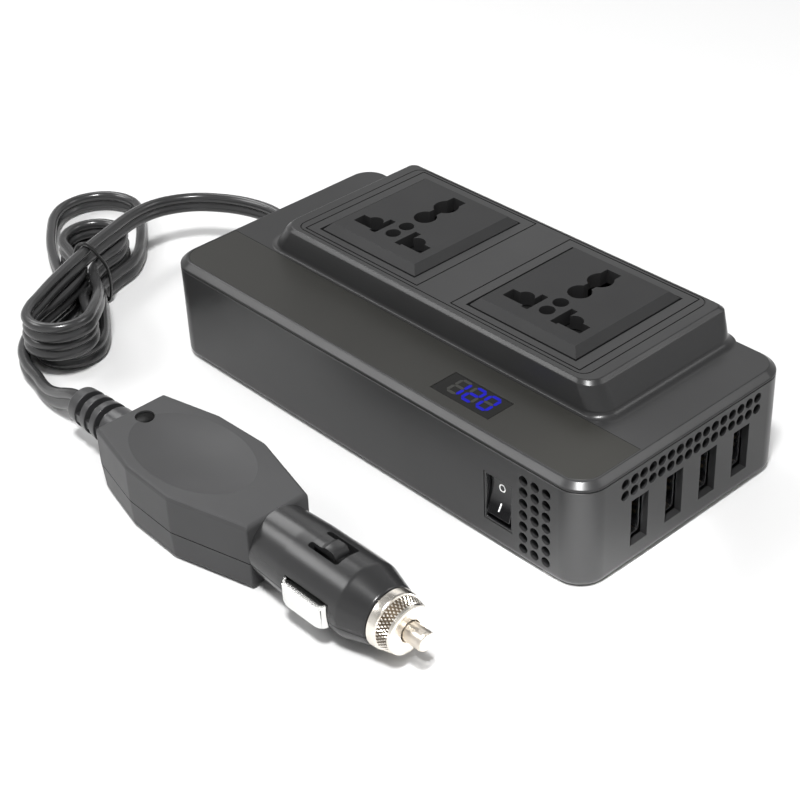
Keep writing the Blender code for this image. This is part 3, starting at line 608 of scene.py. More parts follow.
def sweep(name, points, section):
    """A bar of one section, given as (across, up) points, along a path, kept upright."""
    rings = []
    for i, point in enumerate(points):
        tangent = (points[min(i + 1, len(points) - 1)] - points[max(i - 1, 0)]).normalized()
        across = Vector((0, 0, 1)).cross(tangent).normalized()
        up = tangent.cross(across)
        rings.append([point + u * across + v * up for u, v in section])
    return loft(name, rings)


# Cord


def hank(along, across, height):
    """A point given in the hank's own directions."""
    point = HANK_CENTRE + HANK_AXIS * along + HANK_SIDE * across
    return Vector((point.x, point.y, height))


def loop(centre, radius, height, start, end):
    """Points round a turn of the hank, from one angle to another in the hank's own directions."""
    return [hank(along, across, height) for along, across in arc(centre, radius, start, end, 6)]


def at_level(height, places):
    return [hank(along, across, height) for along, across in places]


def cord_route():
    low, mid, high = 3.5, 10.4, 17.3
    lead = (
        (-99.8, 15.0, 17.0), (-107.5, 15.0, 16.9), (-116.0, 13.4, 16.6), (-123.5, 10.2, 16.4),
        (-131.8, 3.8, 16.4), (-136.3, -4.0, 16.7), (-137.6, -10.4, 17.0),
    )
    route = [Vector(point) for point in lead]
    route += at_level(high, ((-18.2, 15.4), (-8.1, 8.9), (2.4, 3.0), (12.7, -1.9)))
    route += at_level(high, ((23.7, -6.7), (32.5, -9.9)))
    route += loop((41.0, -2.3), 10.0, high, -110, 92)
    route += [hank(31.0, 8.2, 15.9), hank(21.0, 7.0, 13.3), hank(13.0, 5.0, 11.4), hank(5.0, 3.8, mid)]
    route += at_level(mid, ((-2.0, 6.0), (-8.0, 9.9)))
    route += loop((-15.5, 1.5), 10.0, mid, 80, 275)
    route += at_level(mid, ((-7.0, -5.2), (5.0, 0.2), (15.0, -2.1), (25.0, -6.8), (32.0, -10.6)))
    route += loop((40.0, -3.0), 10.0, mid, -110, 92)
    route += [hank(31.0, 4.8, mid), hank(22.0, 2.3, 9.2), hank(13.0, 1.3, 6.0), hank(5.0, 1.8, low)]
    route += at_level(low, ((-2.0, 4.6), (-8.0, 8.9)))
    route += loop((-15.5, 1.5), 10.0, low, 75, 275)
    route += at_level(low, ((-7.0, -5.6), (5.0, -1.8), (14.0, -3.6), (23.0, -7.8)))
    route += loop((34.5, -1.5), 10.0, low, -110, 92)
    route += at_level(low, ((24.0, 7.7), (14.0, 6.4), (5.0, 5.5), (-3.0, 9.6), (-10.0, 13.9)))
    route += at_level(low, ((-18.0, 15.6), (-27.0, 15.6), (-36.0, 14.9)))
    route += loop((-43.5, -1.0), 14.8, low, 95, 265)
    route += at_level(low, ((-34.0, -15.6), (-24.0, -14.4), (-13.0, -11.7), (-4.0, -8.7), (5.0, -5.4)))
    route += at_level(low, ((14.0, -8.6), (23.0, -12.5), (32.0, -15.2), (41.0, -15.5), (49.0, -13.0)))
    tail = (
        (-96.5, -85.2, 3.5), (-92.0, -86.4, 3.6), (-86.5, -87.4, 4.4), (-80.5, -87.9, 6.4),
        (-75.5, -88.0, 8.7), (-71.5, -88.0, 10.3), (-68.0, -88.0, 10.9), (-62.0, -88.0, 10.9),
        (-56.0, -88.0, 10.9),
    )
    route += [Vector(point) for point in tail]
    return smooth_curve(route, 6)


def twin_section(steps=11):
    """Figure-eight section of a flat twin cord that stands on edge."""
    radius = CORD_THICK / 2
    offset = (CORD_WIDTH - CORD_THICK) / 2
    upper = arc((0.0, offset), radius, -60, 240, steps)
    lower = arc((0.0, -offset), radius, 120, 420, steps)
    return upper + lower


def make_cord():
    route = cord_route()
    length = sum((b - a).length for a, b in zip(route, route[1:])) * MM
    cord = sweep("power_cord", route, twin_section())
    piece(cord, "cord_jacket", "cord_lead", "cord_hank", "cord_tail", angle=50.0)
    return cord, [tuple(point * MM) for point in route[::2]], round(length, 3)


def make_tie():
    """A plastic-covered wire wound once round the hank's waist."""
    places = (
        (3.5, -7.4, 3.5), (3.6, -6.7, 0.75), (4.2, -3.0, 0.55), (4.8, 2.0, 0.55), (5.4, 7.3, 0.75),
        (5.6, 8.3, 3.5), (5.8, 8.6, 10.4), (5.8, 7.9, 13.8), (5.4, 6.0, 17.0), (5.0, 3.6, 20.4),
        (4.6, 1.6, 21.3), (4.2, -0.4, 20.6), (3.9, -2.6, 16.0), (3.7, -5.0, 11.0), (3.5, -6.9, 7.0),
    )
    ring = [hank(*place) for place in places]
    ring = smooth_curve(ring + [ring[0]], 5)[:-1]
    half_width, half_thick = 1.0, 0.45
    bm = bmesh.new()
    rows = []
    for i, point in enumerate(ring):
        tangent = (ring[(i + 1) % len(ring)] - ring[i - 1]).normalized()
        outward = tangent.cross(Vector((*HANK_AXIS, 0.0))).normalized()
        along = outward.cross(tangent)
        row = []
        for angle in full_turn(10):
            offset = half_width * math.cos(angle) * along + half_thick * math.sin(angle) * outward
            row.append(bm.verts.new((point + offset) * MM))
        rows.append(row)
    for lower, upper in zip(rows, rows[1:] + rows[:1]):
        bridge(bm, lower, upper)
    piece(raw("wire_tie", bm), "tie_plastic", "cord_tie", angle=60.0)


# Case


def vent_cutter():
    bm = bmesh.new()
    for z in (28.0, 24.4):
        for column in range(16):
            y = 1.2 + (column - 7.5) * VENT_PITCH
            add_cylinder(bm, (END_X - 4, y, z), (END_X + 2, y, z), VENT_RADIUS, 28)
    for x in (64.0, 68.0, 72.0):
        for row in range(7):
            z = 26.8 - row * SIDE_VENT_PITCH
            add_cylinder(bm, (x, FRONT_Y - 2, z), (x, FRONT_Y + 4, z), VENT_RADIUS, 28)
    return raw("vent_cutter", bm)


def opening_cutter():
    bm = bmesh.new()
    half_x, half_z = SWITCH_OPENING[0] / 2, SWITCH_OPENING[1] / 2
    add_box(
        bm,
        (SWITCH_X - half_x, FRONT_Y - 2, SWITCH_Z - half_z),
        (SWITCH_X + half_x, FRONT_Y + 4, SWITCH_Z + half_z),
    )
    half_y, half_z = USB_OPENING[0] / 2, USB_OPENING[1] / 2
    for y in USB_Y:
        add_box(bm, (END_X - 4, y - half_y, USB_Z - half_z), (END_X + 2, y + half_y, USB_Z + half_z))
    for i in range(5):
        z = FAN_Z + (i - 2) * 4.2
        add_box(bm, (-END_X - 2, FAN_Y - 10, z - 1.1), (-END_X + 4, FAN_Y + 10, z + 1.1))
    add_cylinder(bm, (-END_X - 2, GLAND_Y, GLAND_Z), (-END_X + 4, GLAND_Y, GLAND_Z), 5.3)
    return raw("opening_cutter", bm)


def corners_at(x, y):
    return [(side_x * x, side_y * y) for side_x in (-1, 1) for side_y in (-1, 1)]


def make_lower_case():
    top = PARTING_Z - SEAM
    rings = (
        (1.6, CASE_BOTTOM), (0.9, CASE_BOTTOM + 0.15), (0.35, CASE_BOTTOM + 0.6), (0.08, CASE_BOTTOM + 1.2),
        (0.0, CASE_BOTTOM + 2.0), (0.0, top - 0.12), (0.12, top),
    )
    shell = loft("lower_case_shell", [case_ring(inset, z) for inset, z in rings])
    cavity = loft("case_cavity", [case_ring(WALL, FLOOR_TOP), case_ring(WALL, PARTING_Z + 5)])
    for cutter in (cavity, opening_cutter(), vent_cutter()):
        cut(shell, cutter)
    bm = bmesh.new()
    for seats, depth, radius in (
        (corners_at(FOOT_X, FOOT_Y), 0.5, 4.8), (corners_at(SCREW_X, SCREW_Y), 1.2, 2.9)
    ):
        for x, y in seats:
            add_cylinder(bm, (x, y, 0), (x, y, CASE_BOTTOM + depth), radius)
    cut(shell, raw("seat_cutter", bm))
    piece(shell, "case_plastic", "lower_case")


def rise_sections():
    """Raised block from foot to rim: (height, half length, front, back, corner radius)."""
    foot = RISE_FOOT_CORNER
    sections = [(31.3, 70.6, -16.5, RISE_BACK, foot), (DECK_Z, 70.2, -16.3, RISE_BACK, foot)]
    for i in range(1, 9):
        turn = math.radians(90.0 * i / 8)
        height = DECK_Z + 1.9 * (1 - math.cos(turn))
        half_x = 70.2 - 3.2 * math.sin(turn)
        front = -16.3 + 0.7 * math.sin(turn)
        sections.append((height, half_x, front, RISE_BACK, foot - 0.7 * i / 8))
    return sections + [
        (37.0, 65.7, -15.28, RISE_BACK, 6.1),
        (40.75, 62.95, -14.73, RISE_BACK, 5.7),
        (40.95, 62.7, -14.62, 40.72, 5.6),
        (41.1, 62.5, -14.45, 40.6, 5.5),
        (41.75, 61.85, -13.82, 39.97, 5.2),
        (41.87, 61.65, -13.65, 39.8, 5.1),
        (RIM_TOP, 61.35, -13.38, 39.5, 5.0),
    ]


def rise_back_corner(z):
    """The two back corners are soft at the foot of the raised block and crisp at its rim."""
    return max(RISE_BACK_CORNER, RISE_FOOT_CORNER - 0.9 * max(0.0, z - 35.2))


def grown(rectangle, amount):
    """Outline of a rectangle (x0, x1, y0, y1, corner radius) grown on every side."""
    x0, x1, y0, y1, radius = rectangle
    return rounded(x0 - amount, x1 + amount, y0 - amount, y1 + amount, max(radius + amount, 0.05), 6)


def groove(name, rectangle, width, depth):
    """Cutter for a thin line round a rectangle in the raised block's top."""
    outer, inner = grown(rectangle, width / 2), grown(rectangle, -width / 2)
    ring = prism(name, outer, RIM_TOP - depth, RIM_TOP + 1)
    return cut(ring, prism("core", inner, RIM_TOP - depth - 1, RIM_TOP + 2))


def overlay_outline(inset):
    half_x = END_X - 2.5 - inset
    front = FRONT_Y + 2.5 + inset
    back = -16.9 - inset
    corner = CASE_CORNER - 2.0
    return (
        [(half_x, back), (-half_x, back)]
        + arc((-half_x + corner, front + corner), corner, 180, 270, 10)
        + arc((half_x - corner, front + corner), corner, 270, 360, 10)
    )


def display_box(name, inset, low, high):
    x, y = DISPLAY_CENTRE
    half_x, half_y = DISPLAY_SIZE[0] / 2 - inset, DISPLAY_SIZE[1] / 2 - inset
    return box(name, (x - half_x, y - half_y, low), (x + half_x, y + half_y, high))


def display_hole():
    return display_box("display_hole", 0.0, 25.0, 36.0)


def socket_windows():
    half_x, half_y = SOCKET_HALF
    bm = bmesh.new()
    for x in SOCKET_X:
        add_box(
            bm,
            (x - half_x - 0.8, SOCKET_Y - half_y - 0.8, 35.0),
            (x + half_x + 0.8, SOCKET_Y + half_y + 0.15, 50.0),
        )
    return raw("socket_windows", bm)


def make_top_cover():
    rings = (
        (0.12, PARTING_Z + SEAM), (0.0, PARTING_Z + SEAM + 0.12), (0.0, 31.45), (0.08, 31.7),
        (0.25, 31.9), (1.72, 33.1), (1.9, 33.23), (2.15, DECK_Z),
    )
    cover = loft("top_cover_shell", [case_ring(inset, z) for inset, z in rings])
    outside = [
        at_height(rounded(-half, half, front, back, radius, 12, rise_back_corner(z)), z)
        for z, half, front, back, radius in rise_sections()
    ]
    join(cover, loft("rise", outside))
    inner = ((25.0, 65.0, -13.4), (32.8, 65.0, -13.4), (38.7, 60.4, -12.5), (RIM_TOP - WALL, 59.3, -11.4))
    room = [at_height(rounded(-half, half, front, 38.6, 4.0, 6), z) for z, half, front in inner]
    cut(cover, loft("rise_room", room))
    cut(cover, socket_windows())
    cut(cover, groove("rim_groove", (-58.0, 58.0, -11.9, 39.0, 3.2), 0.34, 0.5))
    for x in SOCKET_X:
        frame_line = (x - 24.15, x + 24.15, SOCKET_Y - 24.4, SOCKET_Y + 24.2, 0.1)
        cut(cover, groove("frame_groove", frame_line, 0.42, 0.7))
    cut(cover, prism("overlay_seat", overlay_outline(0.0), DECK_Z - 0.4, DECK_Z + 3))
    cut(cover, display_hole())
    piece(cover, "case_plastic", "top_cover")


SEGMENTS = {
    "top": ((0, 1), (1, 1)),
    "middle": ((0, 0.5), (1, 0.5)),
    "bottom": ((0, 0), (1, 0)),
    "upper_left": ((0, 0.5), (0, 1)),
    "lower_left": ((0, 0), (0, 0.5)),
    "upper_right": ((1, 0.5), (1, 1)),
    "lower_right": ((1, 0), (1, 0.5)),
}
DIGITS = (
    ("upper_right", "lower_right"),
    ("top", "upper_right", "middle", "lower_left", "bottom"),
    ("top", "upper_left", "lower_left", "bottom", "lower_right", "upper_right"),
)


def make_display():
    lens = soften(display_box("display_window", 0.08, DECK_Z - 1.3, DECK_Z - 0.1), 0.12)
    piece(lens, "display_glass", "display_lens")
    wide, tall, pitch = 3.5, 6.2, 5.45
    start = Vector((DISPLAY_CENTRE[0] - DISPLAY_SIZE[0] / 2 + 4.1, DISPLAY_CENTRE[1] - 2.6))
    lit, unlit = bmesh.new(), bmesh.new()
    gap, half = 0.1, 0.5
    for place, digit in enumerate(DIGITS):
        corner = start + Vector((place * pitch, 0.0))
        for name, (first, last) in SEGMENTS.items():
            a = corner + Vector((first[0] * wide, first[1] * tall))
            b = corner + Vector((last[0] * wide, last[1] * tall))
            along = (b - a).normalized()
            side = Vector((-along.y, along.x)) * half
            point, shoulder = along * gap, along * (gap + half)
            outline = [a + point, a + shoulder - side, b - shoulder - side]
            outline += [b - point, b - shoulder + side, a + shoulder + side]
            rings = [at_height(outline, z) for z in (DECK_Z - 0.12, DECK_Z - 0.07)]
            add_loft(lit if name in digit else unlit, rings)
    piece(raw("lit_segments", lit), "lit_segment", slot="display_glass")
    piece(raw("unlit_segments", unlit), "unlit_segment", slot="display_glass")


def make_overlay():
    overlay = prism("overlay_sheet", overlay_outline(0.08), DECK_Z - 0.38, DECK_Z)
    cut(overlay, display_hole())
    piece(soften(overlay, 0.06, 35.0, 1), "overlay_film", "overlay_panel")


# Sockets


def pin_cutters(x):
    """Apertures of one socket: two side groups and the column of round holes."""
    low, high = SOCKET_FACE_BOTTOM - 2, SOCKET_TOP + 2

    def bar(x0, x1, y0, y1):
        x0, x1 = sorted((x0, x1))
        return box("aperture", (x + x0, SOCKET_Y + y0, low), (x + x1, SOCKET_Y + y1, high))

    def hole(u, v, radius):
        place = (x + u, SOCKET_Y + v)
        return cylinder("aperture", (*place, low), (*place, high), radius, 40)

    cutters = []
    for side in (-1, 1):
        cutters.append(bar(side * 6.2, side * 14.4, PIN_Y - 2.2, PIN_Y + 2.1))
        cutters.append(bar(side * 4.3, side * 6.6, PIN_Y - 3.0, PIN_Y + 5.6))
        cutters.append(hole(side * 9.1, PIN_Y + 1.4, 2.7))
    cutters += [hole(0.0, -11.1, 2.3), hole(0.0, -5.7, 2.3), hole(0.0, 2.0, 3.5), hole(0.0, EARTH_Y, 3.85)]
    cutters.append(bar(-2.6, 2.6, EARTH_Y + 2.0, EARTH_Y + 5.7))
    cutters.append(bar(-1.5, 1.5, 4.5, EARTH_Y - 2.6))
    return cutters


def make_sockets():
    levels = ((0.0, SOCKET_FACE_BOTTOM), (0.0, SOCKET_TOP - SOCKET_SLOPE), (SOCKET_SLOPE, SOCKET_TOP))
    for side, x in zip(("left", "right"), SOCKET_X):
        rings = []
        for inset, z in levels:
            half_x, half_y = (half - inset for half in SOCKET_HALF)
            x0, x1, y0, y1 = x - half_x, x + half_x, SOCKET_Y - half_y, SOCKET_Y + half_y
            rings.append([(x0, y0, z), (x1, y0, z), (x1, y1, z), (x0, y1, z)])
        face = loft(f"{side}_socket_face", rings)
        for cutter in pin_cutters(x):
            cut(face, cutter)
        soften(face, 0.14, 30.0)
        piece(face, "socket_plastic", f"socket_{side}_face")

        section = ((-5.0, -1.2), (5.0, -1.2), (5.0, 1.3), (1.5, 1.3), (-5.0, -0.6))
        outline = [(SHUTTER_Y + y, SHUTTER_Z + z) for y, z in section]
        shutter = soften(prism(f"{side}_shutter", outline, x - 15.2, x + 15.2, "X"), 0.2)
        # The shutter's very dark colour is painted shade for the apertures above it.
        piece(shutter, "shutter_plastic", f"socket_{side}_shutter", body=f"{side}_shutter")


# Switch, ports and pieces at the cord end


def make_switch():
    half_x, half_z = SWITCH_OPENING[0] / 2 - 0.12, SWITCH_OPENING[1] / 2 - 0.12
    bezel = box(
        "switch_bezel",
        (SWITCH_X - half_x, FRONT_Y + 0.15, SWITCH_Z - half_z),
        (SWITCH_X + half_x, FRONT_Y + 13.0, SWITCH_Z + half_z),
    )
    rim = 0.85
    rings = []
    for inset, y in ((0.3, -1.0), (0.45, 0.15), (rim, 1.0), (rim, 11.5)):
        x0, x1 = SWITCH_X - (half_x - inset), SWITCH_X + (half_x - inset)
        z0, z1 = SWITCH_Z - (half_z - inset), SWITCH_Z + (half_z - inset)
        rings.append([(x, FRONT_Y + y, z) for x, z in ((x0, z0), (x1, z0), (x1, z1), (x0, z1))])
    cut(bezel, loft("switch_mouth", rings))
    piece(soften(bezel, 0.1), "switch_gloss", "switch_frame")

    section = [(-3.3, -5.8), (-2.75, -3.0), (-2.5, 0.0), (-2.75, 3.0), (-3.3, 5.8)]
    section += [(1.0, 5.8), (4.5, 3.0), (4.5, -3.0), (1.0, -5.8)]
    outline = [tilted(u, v) for u, v in section]
    half = half_x - rim - 0.15
    rocker = prism("rocker", outline, SWITCH_X - half, SWITCH_X + half, "X")
    piece(soften(rocker, 0.3, 40.0, 3), "switch_gloss", "switch_rocker", body="rocker")
    make_switch_marks()


def make_switch_marks():
    """The circle and the bar on the rocker."""
    low, high = MARK_LIFTS
    bm = bmesh.new()
    rows = []
    for angle in full_turn(32):
        row = []
        for radius, lift in ((1.15, low), (1.15, high), (0.78, high), (0.78, low)):
            place = on_rocker(radius * math.cos(angle), 3.1 + radius * 1.1 * math.sin(angle), lift)
            row.append(bm.verts.new(place * MM))
        rows.append(row)
    for first, second in zip(rows, rows[1:] + rows[:1]):
        bridge(bm, first, second)
    corners = ((-0.45, -4.1), (0.0, -4.1), (0.4, -1.5), (-0.05, -1.5))
    add_loft(bm, [[on_rocker(u, v, lift) for u, v in corners] for lift in MARK_LIFTS])
    piece(raw("switch_marks", bm), "white_print", slot="switch_gloss", body="rocker")


def tilted(u, v):
    """A point of the rocker's section, out from and above its pivot, as (y, z) in the case."""
    cos, sin = math.cos(ROCKER_TILT), math.sin(ROCKER_TILT)
    return ROCKER_PIVOT_Y + u * cos - v * sin, SWITCH_Z + u * sin + v * cos


def on_rocker(x, v, lift):
    """A point just off the rocker's dished front."""
    y, z = tilted(-2.5 - 0.8 * (v / 5.8) ** 2 - lift, v)
    return Vector((SWITCH_X + x, y, z))


def make_usb():
    skin = 0.33
    for number, y in enumerate(USB_Y, 1):
        outer, inner = (
            rounded(y - half_y, y + half_y, USB_Z - half_z, USB_Z + half_z, radius, 5)
            for half_y, half_z, radius in ((2.85, 6.55, 0.9), (2.85 - skin, 6.55 - skin, 0.6))
        )
        shell = prism(f"usb_port_shell_{number}", outer, 68.2, 82.0, "X")
        cut(shell, prism("usb_room", inner, 68.6, 84.0, "X"))
        piece(shell, "port_steel", f"usb_shell_{number}")

        low_z, high_z = USB_Z - 5.6, USB_Z + 5.6
        tongue = box(f"usb_port_tongue_{number}", (69.0, y - 2.2, low_z), (71.0, y + 2.2, high_z))
        join(tongue, box("tongue", (70.5, y - 1.85, low_z), (79.8, y - 0.05, high_z)))
        # The tongue takes the darkened inner black, which is painted shade inside the port.
        piece(soften(tongue, 0.15), "inner_plastic", f"usb_tongue_{number}")

        bm = bmesh.new()
        for i in range(4):
            z = USB_Z + (i - 1.5) * 2.4
            add_box(bm, (71.4, y - 0.07, z - 0.5), (79.0, y + 0.06, z + 0.5))
        piece(raw(f"usb_port_pins_{number}", bm), "contact_brass")


def make_gland():
    profile = [(0.0, 0.0), (0.0, 5.0), (4.6, 5.0), (4.6, 6.2), (7.0, 6.1)]
    for i in range(3):
        at, radius = 8.6 + i * 3.4, 5.75 - i * 0.5
        profile += [(at - 0.7, radius + 0.1), (at - 0.6, radius - 0.9)]
        profile += [(at + 0.7, radius - 1.0), (at + 0.8, radius)]
    profile += [(19.2, 4.1), (19.6, 3.9), (19.6, 0.0)]
    gland = turned("cord_gland", rounded_profile(profile, 0.25), (-80.0, GLAND_Y, GLAND_Z), (-1, 0, 0))
    piece(gland, "relief_rubber", "case_strain_relief", angle=40.0)


def make_underside():
    pad = ((0.0, 0.0), (0.0, 4.1), (0.15, 4.4), (1.0, 4.4), (1.0, 0.0))
    for number, (x, y) in enumerate(corners_at(FOOT_X, FOOT_Y), 1):
        foot = turned(f"rubber_foot_{number}", pad, (x, y, 0.0), (0, 0, 1), 40)
        piece(foot, "foot_rubber", f"foot_{number}")
    head = ((0.0, 0.0), (0.0, 2.1), (0.3, 2.45), (0.8, 2.5), (0.8, 1.35), (9.0, 1.35), (9.8, 0.0))
    for number, (x, y) in enumerate(corners_at(SCREW_X, SCREW_Y), 1):
        screw = turned(f"case_screw_{number}", head, (x, y, CASE_BOTTOM + 0.1), (0, 0, 1), 40)
        for long, wide in ((1.5, 0.28), (0.28, 1.5)):
            low, high = (x - long, y - wide, 0.5), (x + long, y + wide, CASE_BOTTOM + 0.6)
            cut(screw, box("recess", low, high))
        piece(screw, "screw_steel", f"screw_{number}")


# Plug


def plug_ring(inset, z):
    """Eight-sided plan of the plug's body with slightly rounded corners."""
    side = list(PLUG_SIDE)
    side[0] = (side[0][0] + inset, side[0][1])
    side[-1] = (side[-1][0] - inset, side[-1][1])
    corners = [Vector((x, PLUG_Y - half + inset)) for x, half in side]
    corners += [Vector((x, PLUG_Y + half - inset)) for x, half in reversed(side)]
    points = []
    for i, corner in enumerate(corners):
        before, after = corners[i - 1], corners[(i + 1) % len(corners)]
        a = corner + (before - corner).normalized() * 0.5
        b = corner + (after - corner).normalized() * 0.5
        points += corner_curve(a, corner, b, (0.0, 0.33, 0.67, 1.0))
    return at_height(points, z)


def plug_solid(name):
    rings = (
        (1.5, PLUG_BOTTOM), (0.9, PLUG_BOTTOM + 0.3), (0.5, PLUG_BOTTOM + 0.9), (0.0, PLUG_SPLIT_Z),
        (0.0, PLUG_TOP - 1.3), (0.12, PLUG_TOP - 0.75), (0.4, PLUG_TOP - 0.3), (0.75, PLUG_TOP - 0.08),
        (1.15, PLUG_TOP),
    )
    return loft(name, [plug_ring(inset, z) for inset, z in rings])


def barrel_solid():
    corners = [(21.5, 0.0), (21.5, 10.25), (34.0, BARREL_RADIUS), (56.0, BARREL_RADIUS), (63.6, 8.5)]
    corners += [(BARREL_END, 8.2), (BARREL_END, 0.0)]
    line = rounded_profile(corners, 0.6)
    profile = []
    for start, end in zip(line, line[1:]):
        steps = max(1, round((end[0] - start[0]) / 1.5))
        for i in range(steps):
            t = i / steps
            profile.append((start[0] + (end[0] - start[0]) * t, start[1] + (end[1] - start[1]) * t))
    profile.append((BARREL_END, 0.0))
    return turned("barrel", profile, (0.0, PLUG_Y, PLUG_AXIS_Z), (1, 0, 0), 96)


def plug_point(x, across, up):
    return x, PLUG_Y + across, PLUG_AXIS_Z + up


def contact_pockets():
    bm = bmesh.new()
    for side in (-1, 1):
        y0, y1 = sorted((PLUG_Y + side * 5.4, PLUG_Y + side * 15.0))
        add_box(bm, (36.7, y0, 6.6), (53.1, y1, 14.2))
    return raw("pockets", bm)


def plug_half(name, low, high):
    shell = join(plug_solid(name), barrel_solid())
    cut(shell, cylinder("bore", plug_point(10, 0, 0), plug_point(90, 0, 0), 4.6, 48))
    cut(shell, cylinder("neck", plug_point(59.3, 0, 0), plug_point(90, 0, 0), 6.2, 48))
    cut(shell, contact_pockets())
    cut(shell, loft("room", [plug_ring(2.6, height) for height in (2.6, 17.8)]))
    return keep(shell, box("half", (-60, PLUG_Y - 30, low), (90, PLUG_Y + 30, high)))


def dish_cutter():
    """A wide flat ball that leaves the finger dish in the plug's top."""
    bm = bmesh.new()
    place = Matrix.Translation(Vector((-13.5, PLUG_Y, PLUG_TOP + 5.4)) * MM)
    size = Matrix.Diagonal((32.9 * MM, 19.7 * MM, 7.4 * MM, 1.0))
    bmesh.ops.create_uvsphere(bm, u_segments=96, v_segments=64, radius=1.0, matrix=place @ size)
    return raw("dish", bm)


def latch_slot():
    outline = arc((39.3, PLUG_Y + 3.1), 0.8, 90, 270, 6)
    outline += [(38.9, PLUG_Y + LATCH_HALF), (38.9, PLUG_Y - LATCH_HALF)]
    outline += arc((39.3, PLUG_Y - 3.1), 0.8, 90, 270, 6)
    outline += [(49.2, PLUG_Y - 3.9), (49.8, PLUG_Y - 3.3), (49.8, PLUG_Y + 3.3), (49.2, PLUG_Y + 3.9)]
    return prism("latch_slot", outline, PLUG_AXIS_Z + 6.4, 40.0)


def make_plug_shells():
    upper = plug_half("plug_top_half", PLUG_SPLIT_Z + SEAM, 40.0)
    lower = plug_half("plug_bottom_half", -20.0, PLUG_SPLIT_Z - SEAM)
    cut(upper, dish_cutter())
    cut(upper, cylinder("lamp_hole", (LAMP_X, LAMP_Y, 10), (LAMP_X, LAMP_Y, 30), 2.75, 40))
    cut(upper, latch_slot())
    barrel_from = PLUG_SIDE[-1][0] + 0.01
    for shell, node in ((upper, "plug_upper_shell"), (lower, "plug_lower_shell")):
        piece(shell, "plug_plastic", node, angle=12.0)
        shell.data.materials.append(MATERIALS["barrel_plastic"])
        for polygon in shell.data.polygons:
            if polygon.center.x > barrel_from * MM:
                polygon.material_index = 1
    dome = ((0.0, 0.0), (0.0, 2.65), (5.3, 2.65), (5.5, 2.5), (5.6, 2.1), (5.65, 0.0))
    lamp_lens = turned("plug_lamp", dome, (LAMP_X, LAMP_Y, 15.0), (0, 0, 1), 40)
    piece(lamp_lens, "indicator_lens", "plug_indicator_lens")


def make_latch():
    low = PLUG_AXIS_Z + 9.2
    tops = (
        (38.85, 0.0), (41.8, 0.0), (42.6, 0.1), (43.2, 0.62), (43.8, 0.75), (46.0, 0.75), (46.8, 0.5),
        (47.5, -0.6), (47.6, -1.2),
    )
    rings = []
    for x, top in tops:
        ring = [(x, PLUG_Y + LATCH_HALF, low), (x, PLUG_Y - LATCH_HALF, low)]
        for i in range(7):
            y = -LATCH_HALF + 2 * LATCH_HALF * i / 6
            curve = math.sqrt(BARREL_RADIUS**2 - y**2)
            ring.append((x, PLUG_Y + y, PLUG_AXIS_Z + curve + top))
        rings.append(ring)
    tab = soften(loft("latch_tab", rings), 0.12, 45.0)
    piece(tab, "barrel_plastic", "plug_latch_tab", slot="plug_plastic", body="latch_tab", angle=40.0)


def make_contacts():
    section = (
        (37.0, 10.2), (37.15, 11.0), (37.7, 11.9), (38.8, 12.45), (40.2, 12.6), (50.2, 12.6), (51.4, 12.35),
        (52.3, 11.7), (52.8, 10.8), (52.8, 10.2), (52.2, 10.2), (51.9, 11.2), (51.0, 11.85), (50.0, 12.0),
        (40.2, 12.0), (38.8, 11.8), (37.9, 11.2), (37.6, 10.2),
    )
    for side, sign, reach in (("front", -1, 0.0), ("back", 1, BACK_CONTACT_REACH)):
        outline = [(x, PLUG_Y + sign * (y - reach)) for x, y in section]
        plate = prism(f"{side}_side_contact", outline, 6.95, 13.85)
        y0, y1 = sorted((PLUG_Y + sign * 7.2, PLUG_Y + sign * (12.2 - reach)))
        join(plate, box("web", (37.6, y0, 7.3), (52.2, y1, 13.0)))
        soften(plate, 0.12, 40.0)
        piece(plate, "plug_steel", f"plug_{side}_contact", body=f"{side}_contact", angle=35.0)


def make_nose():
    centre = plug_point(0.0, 0.0, 0.0)
    profile = [(59.6, 4.9), (59.6, 5.9), (64.2, 5.9), (64.2, 8.0), (64.45, 8.2), (66.4, 8.1), (66.9, 7.8)]
    profile += [(67.0, 7.5), (67.1, 7.35), (70.4, 6.75), (70.5, 6.95), (71.2, 6.85), (71.5, 6.5)]
    profile += [(71.6, 6.0), (71.6, 3.3), (71.4, 3.1), (70.0, 3.1), (70.0, 4.9)]
    cap = turned("nose_cap", profile, centre, (1, 0, 0), 96)
    piece(cap, "plug_nickel", "plug_nose_cap")

    # The bed under the knurl points is dark brown: painted shade between the points.
    bed = ((67.15, 7.3), (67.2, 7.42), (70.3, 6.84), (70.35, 6.7))
    piece(turned("knurl_bed", bed, centre, (1, 0, 0), 96), "nickel_recess_painted_shade", slot="plug_nickel")
    make_knurl()

    tip = [(67.2, 0.0), (67.2, 4.5), (69.7, 4.5), (69.7, 2.8), (76.7, 2.8), (77.3, 2.5), (77.5, 2.0)]
    tip.append((77.5, 0.0))
    pin = turned("centre_pin", rounded_profile(tip, 0.15), centre, (1, 0, 0), 64)
    piece(pin, "tip_nickel", "plug_tip", slot="plug_nickel", body="tip")


